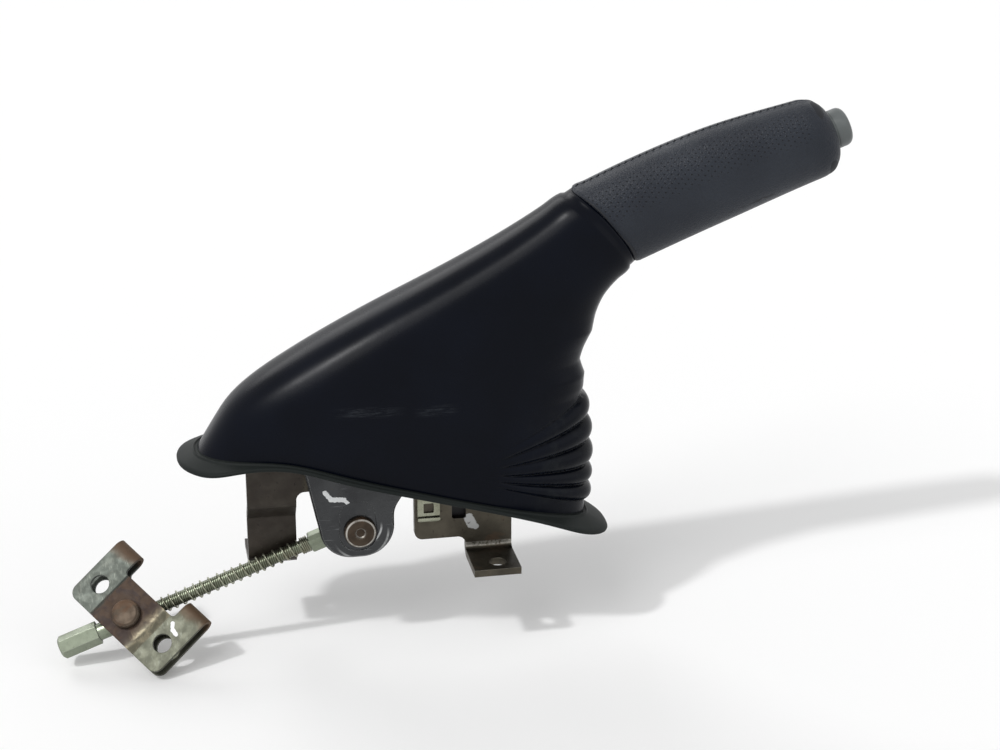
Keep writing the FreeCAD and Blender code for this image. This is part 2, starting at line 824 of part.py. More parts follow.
def release_rod():
    """Cranked wire from the button to the pawl's tail, hooked at its rear end."""
    roof = button_height - 4.0
    front = grip_point(roof, 0)
    hook = release_hook()
    elbow_x = bend_x + 4.0
    elbow = grip_end + grip_along * ((elbow_x - grip_end_x) / grip_along.x)
    radius = 20.0
    to_front = (front - elbow).normalize()
    to_hook = (hook - elbow).normalize()
    half = to_front.getAngle(to_hook) / 2
    reach = radius / math.tan(half)
    middle = elbow + (to_front + to_hook).normalize() * (radius / math.sin(half) - radius)
    bend = release_bend_radius
    bend_start = hook - to_hook * bend
    bend_middle = hook + (side - to_hook).normalize() * (bend * (math.sqrt(2) - 1))
    bend_end = hook + side * bend
    hook_end = hook + side * (bracket_face + pawl_offset + pawl_thickness + 1.5)
    crank = arc_points(elbow + to_front * reach, middle, elbow + to_hook * reach)
    knuckle = arc_points(bend_start, bend_middle, bend_end)
    return wire_along([front] + crank + knuckle + [hook_end], release_radius)


def button_spring():
    """Coil spring between the core's partition and the button's roof."""
    start = partition_top + button_spring_wire + 0.1
    end = button_height - 4.0 - button_spring_wire - 0.1
    turns = 5
    pitches = [(end - start) / turns] * turns
    mean = (button_radius - button_wall + release_radius) / 2 + 0.4
    return coil(button_spring_wire, mean, pitches, grip_point(start, 0), grip_along)


def pull_rod():
    """Pull rod: a flat eye and blade forged on a round rod, which is threaded at its end."""
    half = eye_thickness / 2
    flat = [
        (clevis + rod_up * (blade_height / 2) - side * half, 0),
        (clevis - rod_up * (blade_height / 2) - side * half, 0),
        (clevis + rod_along * blade_length - rod_up * (blade_height / 2) - side * half, 1),
        (clevis + rod_along * blade_length + rod_up * (blade_height / 2) - side * half, 1)]
    blade = Part.Face(rounded_wire(flat)).extrude(side * eye_thickness)
    eye = rod(eye_radius, clevis - side * half, side, eye_thickness)
    shank_start = blade_length - blade_overlap
    shank = rod(rod_radius, clevis + rod_along * shank_start, rod_along, rod_length - shank_start)
    body = blade.fuse([eye, shank])
    hole = rod(clevis_radius + running_gap, clevis - side * eye_thickness, side, 2 * eye_thickness)
    return body.cut(hole).removeSplitter()


def rod_spring():
    """Thin coil spring round the rod, close wound against the blade."""
    start = blade_length + spring_wire_radius + 0.05
    end = trunnion_distance - trunnion_radius - spring_wire_radius - side_gap
    close_pitch = 2 * spring_wire_radius + 0.08
    open_pitch = (end - start - close_pitch * spring_close_turns) / spring_open_turns
    pitches = [close_pitch] * spring_close_turns + [open_pitch] * spring_open_turns
    return coil(spring_wire_radius, spring_mean_radius, pitches, clevis + rod_along * start, rod_along)


def trunnion_pin():
    """Trunnion: a broad headed pin through the equaliser, bored across for the rod."""
    face = wing_face + middle_raise + side_gap
    groove = face + side_gap
    end = groove + circlip_thickness + 1.2
    head = trunnion_head_radius
    top = face + trunnion_head_thickness
    profile = [
        (-end, trunnion_radius - 0.6), (-end + 0.6, trunnion_radius),
        (-groove - circlip_thickness, trunnion_radius), (-groove - circlip_thickness, trunnion_radius - 0.8),
        (-groove, trunnion_radius - 0.8), (-groove, trunnion_radius),
        (face, trunnion_radius), (face, head),
        (top - 1.0, head), (top - 0.3, head - 0.5), (top, head - 1.6)]
    body = turned(profile, trunnion_middle, trunnion_axis)
    bore_start = trunnion_middle - rod_along * 20
    return body.cut(rod(rod_radius + running_gap, bore_start, rod_along, 40))


def trunnion_circlip():
    """Open spring ring which holds the equaliser on the trunnion."""
    start = trunnion_middle - trunnion_axis * (wing_face + middle_raise + 2 * side_gap + circlip_thickness)
    ring = rod(trunnion_radius + 1.8, start, trunnion_axis, circlip_thickness)
    ring = ring.cut(rod(trunnion_radius - 0.8, start, trunnion_axis, circlip_thickness))
    mouth = Part.makeBox(4.0, 10, circlip_thickness, V(-2.0, 0, 0))
    return ring.cut(place(mouth, start, rod_along, trunnion_across, trunnion_axis))


def adjuster_washer():
    """Flat washer between the trunnion and the adjuster nut."""
    start = clevis + rod_along * (trunnion_distance + trunnion_radius + side_gap)
    ring = rod(collar_radius, start, rod_along, washer_thickness)
    return ring.cut(rod(rod_radius + running_gap, start, rod_along, washer_thickness))


def adjuster_nut():
    """Long hexagon adjuster nut with a round neck and a collar at its front."""
    front = trunnion_distance + trunnion_radius + washer_thickness + 2 * side_gap
    start = clevis + rod_along * front
    neck_end = collar_length + nut_neck_length
    body = turned([
        (0, collar_radius - 0.4), (0.4, collar_radius), (collar_length, collar_radius),
        (collar_length, nut_neck_radius), (neck_end, nut_neck_radius)],
        start, rod_along)
    corner = nut_flats / math.sqrt(3)
    points = []
    for index in range(7):
        angle = math.radians(60 * index + 30)
        points.append(start + rod_along * neck_end + (rod_up * math.cos(angle) + side * math.sin(angle)) * corner)
    hexagon = Part.Face(Part.makePolygon(points)).extrude(rod_along * nut_hex_length)
    chamfer = turned([
        (neck_end - 1, corner), (neck_end + nut_hex_length - 1.2, corner),
        (neck_end + nut_hex_length, corner - 1.2)],
        start, rod_along)
    body = body.fuse(hexagon.common(chamfer))
    bore = rod(rod_radius + running_gap, start - rod_along, rod_along, neck_end + nut_hex_length + 2)
    return body.cut(bore).removeSplitter()


def equaliser_half_sheet():
    """One face of the equaliser: two flat wings and the raised middle, bent in one sheet."""
    t = equaliser_sheet
    high = wing_face + middle_raise
    inner = middle_half_width
    outer = middle_half_width + middle_slope
    end = equaliser_half_length
    top = [(-end, wing_face), (-outer, wing_face), (-inner, high),
           (inner, high), (outer, wing_face), (end, wing_face)]
    low = [(end, wing_face - t), (outer + t * 0.35, wing_face - t), (inner + t * 0.35, high - t),
           (-inner - t * 0.35, high - t), (-outer - t * 0.35, wing_face - t), (-end, wing_face - t)]
    radii = [0, 1.2, 1.6, 1.6, 1.2, 0]
    corners = [(V(0, l, z), radius) for (l, z), radius in zip(top + low, radii + radii)]
    sheet = Part.Face(rounded_wire(corners)).extrude(V(equaliser_rear + equaliser_front, 0, 0))
    sheet.translate(V(-equaliser_front, 0, 0))
    return sheet


def equaliser_plate():
    """Folded equaliser: two faces joined by hairpin folds at the front of each wing."""
    t = equaliser_sheet
    fold_middle = -equaliser_front + wing_face
    front_sheet = equaliser_half_sheet()
    trim = equaliser_trim(fold_middle)
    front_sheet = front_sheet.common(trim)
    back_sheet = front_sheet.mirror(V(0, 0, 0), V(0, 0, 1))
    body = front_sheet.fuse(back_sheet)
    for sign in (1, -1):
        low = notch_half_width if sign > 0 else -equaliser_half_length
        length = equaliser_half_length - notch_half_width
        start = V(fold_middle, low, 0)
        tube = Part.makeCylinder(wing_face, length, start, V(0, 1, 0))
        tube = tube.cut(Part.makeCylinder(wing_face - t, length, start, V(0, 1, 0)))
        keep = Part.makeBox(wing_face + 1, length, 4 * wing_face)
        keep.translate(V(fold_middle - wing_face - 1, low, -2 * wing_face))
        body = body.fuse(tube.common(keep))
    reach = 4 * wing_face
    tools = [Part.makeCylinder(trunnion_radius + running_gap, reach, V(0, 0, -reach / 2), V(0, 0, 1))]
    for sign in (1, -1):
        middle = V(-1.8, sign * cable_hole_spread, -reach / 2)
        tools.append(Part.makeCylinder(cable_hole_radius, reach, middle, V(0, 0, 1)))
    body = body.cut(tools).removeSplitter()
    tilt = math.radians(equaliser_tilt_deg)
    x_axis = rod_along * math.cos(tilt) + trunnion_across * math.sin(tilt)
    y_axis = trunnion_across * math.cos(tilt) - rod_along * math.sin(tilt)
    return place(body, trunnion_middle, x_axis, y_axis, trunnion_axis)


def equaliser_trim(fold_middle):
    """Outline of the sheet: wings with round rear corners and a notch before the middle."""
    reach = 3 * wing_face
    end = equaliser_half_length
    rear = equaliser_rear
    notch = notch_half_width
    corners = [
        (fold_middle, -end, 0), (rear, -end, 5), (rear, end, 5), (fold_middle, end, 0),
        (fold_middle, notch, 0), (-equaliser_middle_front, notch, 2.0),
        (-equaliser_middle_front, -notch, 2.0), (fold_middle, -notch, 0)]
    wire = rounded_wire([(V(x, y, -reach), radius) for x, y, radius in corners])
    return Part.Face(wire).extrude(V(0, 0, 2 * reach))


def switch_body():
    """Moulded body of the warning switch, on the far face of the bracket's tab."""
    body = plate([
        (switch_rear_x, switch_shoulder, 1), (tab_rear_x + 3, switch_shoulder, 0),
        (tab_rear_x + 3, switch_bottom, 1), (switch_front_x, switch_bottom, 1),
        (switch_front_x, switch_top, 1.5), (switch_rear_x, switch_top, 1.5)],
        switch_inner_y, switch_outer_y)
    middle = V(plunger_x, plunger_y, switch_top - plunger_length - plunger_travel)
    return body.cut(rod(plunger_radius + running_gap, middle, V(0, 0, 1), 20))


def switch_plunger():
    """Spring-loaded plunger, held down by the lever's striker when the lever is down."""
    low = switch_top - plunger_length
    body = rod(plunger_radius, V(plunger_x, plunger_y, low), V(0, 0, 1), 2 * plunger_length - 0.4)
    cap = Part.makeSphere(plunger_radius, V(plunger_x, plunger_y, low + 2 * plunger_length - 0.4))
    keep = Part.makeBox(4, 4, 20, V(plunger_x - 2, plunger_y - 2, low))
    top = switch_top + plunger_length
    crown = Part.makeBox(4, 4, 4, V(plunger_x - 2, plunger_y - 2, top))
    return body.fuse(cap).common(keep).cut(crown).removeSplitter()


def switch_clip():
    """Sprung steel clip on the near face of the tab, hooked over to the switch."""
    near = -bracket_sheet / 2 - side_gap
    low_x = tab_rear_x + clip_inset
    high_x = low_x + clip_size[0]
    low_z = clip_low
    high_z = low_z + clip_size[1]
    body = plate([
        (low_x, low_z, 1), (high_x, low_z, 1), (high_x, high_z, 1), (low_x, high_z, 1)],
        near - clip_sheet, near)
    slot = plate([
        (low_x + 3.0, low_z + 4.5, 0.5), (high_x - 3.0, low_z + 4.5, 0.5),
        (high_x - 3.0, high_z - 3.0, 0.5), (low_x + 3.0, high_z - 3.0, 0.5)],
        near - 2, near + 1)
    bead = Part.makeCylinder(1.3, high_x - low_x, V(low_x, near - clip_sheet, low_z + 1.6), V(1, 0, 0))
    bead = bead.common(plate([
        (low_x, low_z, 0), (high_x, low_z, 0), (high_x, high_z, 0), (low_x, high_z, 0)],
        near - 4, near))
    return body.cut(slot).fuse(bead).removeSplitter()


def switch_terminal():
    """Flat blade terminal of the switch, for the warning lamp's wire."""
    length, thickness, width = terminal_size
    middle_y = (switch_inner_y + switch_outer_y) / 2
    start = V(switch_front_x, middle_y - thickness / 2, terminal_low)
    blade = Part.makeBox(length, thickness, width, start)
    hole = rod(width / 7, V(switch_front_x + length * 2 / 3, 0, terminal_low + width / 2), side, 20)
    return blade.cut(hole)


def base_height(x):
    """Height of the boot's base line: level at the rear, then falling to the front."""
    past = x - boot_level_end_x
    blend = boot_level_blend
    eased = 0.5 * (past + math.sqrt(past * past + blend * blend))
    rear_past = boot_rear_x - boot_level_end_x
    rear_eased = 0.5 * (rear_past + math.sqrt(rear_past ** 2 + blend ** 2))
    return boot_base_rear_z - boot_base_slope * (eased - rear_eased)


def boot_lines():
    """Rear, front and half-width of the boot against height, each as a smooth curve."""
    top_half = grip_rear_height / 2
    top = grip_point(grip_rear_along(top_half, 0) - soft_gap, top_half)
    low = grip_point(grip_rear_along(-top_half, 0) - soft_gap, -top_half)
    shares = [0.0, *boot_line_shares, 1.0]
    widths = [boot_half_width, *boot_widths, grip_rear_width / 2]
    rear_ends = [(boot_rear_x, boot_base_rear_z), *boot_rear_line, (top.x, top.z)]
    front_ends = [(boot_front_x, base_height(boot_front_x)), *boot_front_line, (low.x, low.z)]
    curves = []
    for ends in (rear_ends, front_ends):
        curve = Part.BSplineCurve()
        curve.interpolate(Points=[V(x, width, z) for (x, z), width in zip(ends, widths)], Parameters=shares)
        curves.append(curve)
    return curves


def smooth(value):
    """Smooth step from 0 to 1."""
    value = min(max(value, 0.0), 1.0)
    return value * value * (3 - 2 * value)


def boot_point(lines, share, turn):
    """Point of the boot's plain form: a ring at a share of the height, at a turn round it."""
    rear = lines[0].value(share)
    front = lines[1].value(share)
    middle = (rear + front) * 0.5
    middle.y = 0
    power = 2 / (2.6 - 0.25 * share)
    ahead = math.copysign(abs(math.cos(turn)) ** power, math.cos(turn))
    out = math.copysign(abs(math.sin(turn)) ** power, math.sin(turn))
    half = V(front.x - middle.x, 0, front.z - middle.z)
    point = middle + half * ahead + side * (rear.y * out)
    base_line = boot_base_rear_z + (base_height(boot_front_x) - boot_base_rear_z) * (1 + ahead) / 2
    base_x = (boot_rear_x + boot_front_x) / 2 + (boot_front_x - boot_rear_x) / 2 * ahead
    point.z += (base_height(base_x) - base_line) * (1 - share) ** 2
    return point + grip_along * (grip_rear_bulge * out * out * share ** 8)


def behind_grip(point):
    """The point, drawn back where needed to stay a small gap behind the grip's rear end."""
    offset = point - grip_end
    limit = grip_rear_along(offset.dot(grip_up), point.y) - soft_gap
    return point - grip_along * max(offset.dot(grip_along) - limit, 0)


def pleat_height(point, share):
    """Outward push of the concertina pleats, which fan out from their root to the front."""
    dx = point.x - pleat_root[0]
    dz = point.z - pleat_root[1]
    if dx <= 0:
        return 0.0
    angle = math.degrees(math.atan2(dz, dx))
    grown = smooth(math.hypot(dx, dz) / pleat_growth)
    fade = smooth((pleat_top_deg - angle) / 6) * smooth((angle - pleat_low_deg) / 5) * smooth(share / 0.04)
    wave = math.cos(2 * math.pi * (angle - pleat_phase_deg) / pleat_pitch_deg)
    return pleat_depth * grown * fade * wave


def boot_shares():
    """Ring heights: close together through the pleats, wider apart above them."""
    lower = [pleat_share * index / pleat_rings for index in range(pleat_rings)]
    upper = [pleat_share + (1 - pleat_share) * index / plain_rings for index in range(plain_rings + 1)]
    return lower + upper


def boot_turns():
    """Turns round a ring, from the front, closer together over the pleated front half."""
    front = [math.pi * (index / front_turns - 0.5) for index in range(front_turns)]
    rear = [math.pi * (index / rear_turns + 0.5) for index in range(rear_turns)]
    return front + rear


def boot_grid(depth, pleat_part, drop):
    """Rings of points on the boot's wall, at a depth under its plain form."""
    lines = boot_lines()
    small = 1e-3
    rows = []
    for share in boot_shares():
        row = []
        for turn in boot_turns():
            point = boot_point(lines, share, turn)
            low = max(share - small, 0)
            high = min(share + small, 1)
            up = boot_point(lines, high, turn) - boot_point(lines, low, turn)
            around = boot_point(lines, share, turn + small) - boot_point(lines, share, turn - small)
            normal = around.cross(up).normalize()
            moved = point + normal * (pleat_height(point, share) * pleat_part - depth)
            moved.z -= drop * (1 - smooth(share / 0.05))
            row.append(behind_grip(moved))
        rows.append(row)
    return rows


def boot_flange(base_row):
    """Outer edge of the base flange, square to the boot's base line in plan."""
    count = len(base_row)
    row = []
    for index in range(count):
        run = base_row[(index + 1) % count] - base_row[index - 1]
        outward = V(run.y, -run.x, 0).normalize()
        point = base_row[index] + outward * flange_width
        point.z = base_height(point.x)
        row.append(point)
    return row


def boot():
    """Rubber boot: a thin wall with concertina pleats and a flat base flange, in flat facets."""
    outer = boot_grid(0, 1, 0)
    inner = boot_grid(boot_wall, inner_pleat_part, flange_thickness)
    flange_top = boot_flange(outer[0])
    flange_low = [point - V(0, 0, flange_thickness) for point in flange_top]
    return faceted(outer[::-1] + [flange_top, flange_low] + inner, True)


nodes = {
    "base_bracket": base_bracket,
    "ratchet_sector": ratchet_sector,
    "sector_rivets": sector_rivets,
    "pivot_bush": pivot_bush,
    "pivot_pin": pivot_pin,
    "pivot_circlip": pivot_circlip,
    "lever_channel": lever_channel,
    "switch_striker": switch_striker,
    "clevis_pin": clevis_pin,
    "clevis_spacers": clevis_spacers,
    "pawl_pin": pawl_pin,
    "pawl": pawl,
    "grip_core": grip_core,
    "grip_leather": grip_leather,
    "push_button": push_button,
    "release_rod": release_rod,
    "button_spring": button_spring,
    "pull_rod": pull_rod,
    "rod_spring": rod_spring,
    "trunnion_pin": trunnion_pin,
    "trunnion_circlip": trunnion_circlip,
    "adjuster_washer": adjuster_washer,
    "adjuster_nut": adjuster_nut,
    "equaliser_plate": equaliser_plate,
    "switch_body": switch_body,
    "switch_plunger": switch_plunger,
    "switch_clip": switch_clip,
    "switch_terminal": switch_terminal,
    "boot": boot,
}

os.makedirs("parts", exist_ok=True)
for name, build in nodes.items():
    shape = build()
    shape.exportStep("parts/" + name + ".step")
    print(name, "solids", len(shape.Solids), "volume", round(shape.Volume, 1), "valid", shape.isValid())
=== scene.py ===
import json
import math
import bpy
import numpy as np
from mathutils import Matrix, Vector


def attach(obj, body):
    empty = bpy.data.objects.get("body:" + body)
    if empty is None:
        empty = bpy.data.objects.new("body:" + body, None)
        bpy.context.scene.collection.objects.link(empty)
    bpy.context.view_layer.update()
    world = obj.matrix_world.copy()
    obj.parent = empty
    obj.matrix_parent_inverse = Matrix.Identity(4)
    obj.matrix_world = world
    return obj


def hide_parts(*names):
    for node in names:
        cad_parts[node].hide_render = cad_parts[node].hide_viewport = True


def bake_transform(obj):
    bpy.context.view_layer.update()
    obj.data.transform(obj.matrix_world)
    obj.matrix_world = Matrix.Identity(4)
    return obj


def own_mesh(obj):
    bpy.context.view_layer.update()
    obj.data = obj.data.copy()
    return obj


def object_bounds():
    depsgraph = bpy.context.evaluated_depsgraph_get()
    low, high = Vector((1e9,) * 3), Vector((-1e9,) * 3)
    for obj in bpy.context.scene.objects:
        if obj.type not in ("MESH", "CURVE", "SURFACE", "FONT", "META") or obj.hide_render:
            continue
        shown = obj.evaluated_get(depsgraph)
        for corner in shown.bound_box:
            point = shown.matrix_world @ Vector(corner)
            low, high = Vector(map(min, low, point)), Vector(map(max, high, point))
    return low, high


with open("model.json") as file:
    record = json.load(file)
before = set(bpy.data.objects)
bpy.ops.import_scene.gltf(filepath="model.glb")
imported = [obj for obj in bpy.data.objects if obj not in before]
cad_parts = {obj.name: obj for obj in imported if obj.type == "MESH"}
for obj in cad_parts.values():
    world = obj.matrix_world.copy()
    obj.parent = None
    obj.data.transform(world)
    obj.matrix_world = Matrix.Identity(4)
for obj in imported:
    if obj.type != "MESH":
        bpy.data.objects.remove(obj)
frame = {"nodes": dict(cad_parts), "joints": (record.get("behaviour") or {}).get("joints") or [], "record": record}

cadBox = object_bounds()
mm = 0.001
nodes = frame["nodes"]
joints = {joint["name"]: joint for joint in frame["joints"]}


def along(angleDeg):  # direction in the lever's middle plane, up from +X
    angle = math.radians(angleDeg)
    return np.array([math.cos(angle), 0.0, math.sin(angle)])


side = np.array([0.0, 1.0, 0.0])
gripEnd = np.array([217.6, 0.0, 205.4]) * mm
gripAngle = 20.0
gripAlong = along(gripAngle)
gripUp = along(gripAngle + 90.0)
rodAlong = np.array(joints["adjuster_travel"]["axis"])
clevisPlace = np.array(joints["rod_pivot"]["pos_m"])
trunnionPlace = np.array(joints["equaliser_swivel"]["pos_m"])
swivelAxis = np.array(joints["equaliser_swivel"]["axis"])
equaliserTilt = math.radians(25.0)
acrossRod = np.cross(swivelAxis, rodAlong)
plateRear = rodAlong * math.cos(equaliserTilt) + acrossRod * math.sin(equaliserTilt)
plateSpan = rodAlong * math.sin(equaliserTilt) - acrossRod * math.cos(equaliserTilt)


# Camera at the photograph's angle
cameraLook = {"azimuth": -11.0, "elevation": 20.0, "distance": 1.0, "lens": 75.0,
    "target": (57.6, 0.0, 93.0)}


def addCamera():
    azimuth = math.radians(cameraLook["azimuth"])
    elevation = math.radians(cameraLook["elevation"])
    back = Vector((
        math.sin(azimuth) * math.cos(elevation),
        -math.cos(azimuth) * math.cos(elevation),
        math.sin(elevation)))
    data = bpy.data.cameras.new("camera")
    data.lens = cameraLook["lens"]
    camera = bpy.data.objects.new("camera", data)
    bpy.context.scene.collection.objects.link(camera)
    camera.rotation_mode = "QUATERNION"
    camera.location = Vector(cameraLook["target"]) * mm + back * cameraLook["distance"]
    camera.rotation_quaternion = (-back).to_track_quat("-Z", "Y")
    bpy.context.scene.camera = camera


# Surfaces
def addSurface(name, grid, closeAround=True, closeAlong=False, capEnds=False, pattern=None):
    # grid[i, j] is a point at row i along and column j around; quads join neighbours
    rows, columns = grid.shape[:2]
    i, j = np.meshgrid(
        np.arange(rows if closeAlong else rows - 1),
        np.arange(columns if closeAround else columns - 1), indexing="ij")
    corners = [(i, j), (i, j + 1), (i + 1, j + 1), (i + 1, j)]
    faces = np.stack([(a % rows) * columns + b % columns for a, b in corners], -1).reshape(-1, 4)
    points = grid.reshape(-1, 3)
    faceList = faces
    capFaces = np.zeros((0, 3), int)
    if capEnds:
        middles = np.array([grid[0].mean(0), grid[-1].mean(0)])
        ring = np.arange(columns)
        following = (ring + 1) % columns
        last = (rows - 1) * columns
        first = np.stack([ring, np.full(columns, len(points)), following], -1)
        final = np.stack([last + ring, last + following, np.full(columns, len(points) + 1)], -1)
        capFaces = np.concatenate([first, final])
        points = np.concatenate([points, middles])
    a, b, c, d = (points[faces[:, k]] for k in range(4))
    volume = np.einsum("ij,ij->i", a, np.cross(b, c)).sum() + np.einsum("ij,ij->i", a, np.cross(c, d)).sum()
    if volume < 0:
        faceList = faces[:, ::-1]
        capFaces = capFaces[:, ::-1]
    mesh = bpy.data.meshes.new(name)
    mesh.from_pydata(points.tolist(), [], faceList.tolist() + capFaces.tolist())
    mesh.shade_smooth()
    if pattern is not None:
        u, v = pattern
        corner = np.stack([np.stack([u[b], v[a]], -1) for a, b in corners], -2).reshape(-1, 4, 2)
        if volume < 0:
            corner = corner[:, ::-1]
        flat = np.concatenate([corner.reshape(-1, 2), np.zeros((capFaces.size, 2))])
        layer = mesh.uv_layers.new(name="pattern")
        layer.data.foreach_set("uv", flat.ravel().astype(np.float32))
    piece = bpy.data.objects.new(name, mesh)
    bpy.context.scene.collection.objects.link(piece)
    return piece


def addVertexValues(piece, name, values):
    values = np.asarray(values, np.float32)
    kind = "FLOAT_VECTOR" if values.ndim == 2 else "FLOAT"
    layer = piece.data.attributes.new(name, kind, "POINT")
    layer.data.foreach_set("vector" if kind == "FLOAT_VECTOR" else "value", values.ravel())


def smoothStep(value):
    value = np.clip(value, 0.0, 1.0)
    return value * value * (3 - 2 * value)


def splineThrough(knots, values, at):
    # natural cubic spline: second derivatives from one small linear system, then Hermite pieces
    knots, values, at = (np.asarray(item, float) for item in (knots, values, at))
    step = np.diff(knots)
    count = len(knots)
    system = np.eye(count)
    right = np.zeros(count)
    inner = np.arange(1, count - 1)
    system[inner, inner - 1] = step[:-1]
    system[inner, inner] = 2 * (step[:-1] + step[1:])
    system[inner, inner + 1] = step[1:]
    slope = np.diff(values) / step
    right[1:-1] = 6 * np.diff(slope)
    curve = np.linalg.solve(system, right)
    k = np.clip(np.searchsorted(knots, at, side="right") - 1, 0, count - 2)
    h = step[k]
    low = (knots[k + 1] - at) / h
    high = (at - knots[k]) / h
    return (low * values[k] + high * values[k + 1]
            + ((low ** 3 - low) * curve[k] + (high ** 3 - high) * curve[k + 1]) * h * h / 6)


def tube(path, radius, sides):
    # round section carried along a path; its axes come from one fixed reference direction, squared to the path at each
    # point
    path = np.asarray(path, float)
    run = np.gradient(path, axis=0)
    run /= np.linalg.norm(run, axis=1, keepdims=True)
    reference = np.array([0.31, 0.52, 0.80])
    outward = reference - run * (run @ reference)[:, None]
    outward /= np.linalg.norm(outward, axis=1, keepdims=True)
    across = np.cross(run, outward)
    turn = np.linspace(0, 2 * np.pi, sides, endpoint=False)
    radius = np.broadcast_to(np.asarray(radius, float), len(path))
    ring = outward[:, None] * np.cos(turn)[None, :, None] + across[:, None] * np.sin(turn)[None, :, None]
    return path[:, None] + ring * radius[:, None, None]


def helix(start, direction, height, angle, radius):
    # points at a height along an axis and an angle round it
    first = np.cross(direction, side)
    first /= np.linalg.norm(first)
    second = np.cross(direction, first)
    around = first * np.cos(angle)[:, None] + second * np.sin(angle)[:, None]
    return start + direction * height[:, None] + around * np.asarray(radius)[..., None]


# Shader helpers
def newMaterial(name):
    material = bpy.data.materials.new(name)
    material.use_nodes = True
    tree = material.node_tree
    return material, tree, tree.nodes["Principled BSDF"]


def place(tree, kind, inputs=None, **settings):
    made = tree.nodes.new(kind)
    for key, value in settings.items():
        setattr(made, key, value)
    for key, value in (inputs or {}).items():
        if isinstance(value, bpy.types.NodeSocket):
            tree.links.new(value, made.inputs[key])
        else:
            made.inputs[key].default_value = value
    return made


def calc(tree, operation, *values, clamp=False):
    made = place(tree, "ShaderNodeMath", dict(enumerate(values)), operation=operation, use_clamp=clamp)
    return made.outputs[0]


def times(tree, first, second, clamp=False):
    return calc(tree, "MULTIPLY", first, second, clamp=clamp)


def plus(tree, first, second, clamp=False):
    return calc(tree, "ADD", first, second, clamp=clamp)


def minus(tree, first, second, clamp=False):
    return calc(tree, "SUBTRACT", first, second, clamp=clamp)


def planeLength(tree, first, second):
    return calc(tree, "SQRT", plus(tree, times(tree, first, first), times(tree, second, second)))


def vectorCalc(tree, operation, *values):
    made = place(tree, "ShaderNodeVectorMath", dict(enumerate(values)), operation=operation)
    return made.outputs["Value" if operation == "DOT_PRODUCT" else "Vector"]


def ramp(tree, value, low, high, start=0.0, end=1.0):  # smooth step between two values
    made = place(tree, "ShaderNodeMapRange", {"Value": value, "From Min": low, "From Max": high,
                                              "To Min": start, "To Max": end}, interpolation_type="SMOOTHSTEP")
    return made.outputs["Result"]


def noise(tree, coordinate, scale, detail=4.0, roughness=0.55, distortion=0.0):
    made = place(tree, "ShaderNodeTexNoise", {"Vector": coordinate, "Scale": scale, "Detail": detail,
                                              "Roughness": roughness, "Distortion": distortion})
    return made.outputs["Fac"]


def blendColor(tree, factor, first, second):
    made = tree.nodes.new("ShaderNodeMix")
    made.data_type = "RGBA"
    for socket, value in ((made.inputs[0], factor), (made.inputs[6], first), (made.inputs[7], second)):
        if isinstance(value, bpy.types.NodeSocket):
            tree.links.new(value, socket)
        elif socket.type == "RGBA":
            socket.default_value = (*value, 1.0)
        else:
            socket.default_value = value
    return made.outputs[2]


def objectPlace(tree):
    return place(tree, "ShaderNodeTexCoord").outputs["Object"]


def localPlace(tree, origin, axes):
    # object coordinates measured from an origin along three unit axes, in metres
    shifted = vectorCalc(tree, "SUBTRACT", objectPlace(tree), tuple(origin))
    return [vectorCalc(tree, "DOT_PRODUCT", shifted, tuple(axis)) for axis in axes]


def stretched(tree, coordinate, scale, turn=(0.0, 0.0, 0.0)):
    made = place(tree, "ShaderNodeMapping", {"Vector": coordinate, "Scale": scale, "Rotation": turn})
    return made.outputs["Vector"]


def bump(tree, height, distance, strength=1.0, under=None):
    inputs = {"Height": height, "Distance": distance, "Strength": strength}
    if under is not None:
        inputs["Normal"] = under
    return place(tree, "ShaderNodeBump", inputs).outputs["Normal"]


def strokeMask(tree, u, v, start, end, radius, ragged):
    # 1 within a radius of the segment from start to end in the plane (u, v), with a ragged edge
    du, dv = end[0] - start[0], end[1] - start[1]
    pu = minus(tree, u, start[0])
    pv = minus(tree, v, start[1])
    size = du * du + dv * dv
    dot = plus(tree, times(tree, pu, du / size), times(tree, pv, dv / size), clamp=True)
    qu = minus(tree, pu, times(tree, dot, du))
    qv = minus(tree, pv, times(tree, dot, dv))
    reach = planeLength(tree, qu, qv)
    edge = plus(tree, reach, times(tree, minus(tree, ragged, 0.5), radius * 0.9))
    return ramp(tree, edge, radius, radius * 0.82)


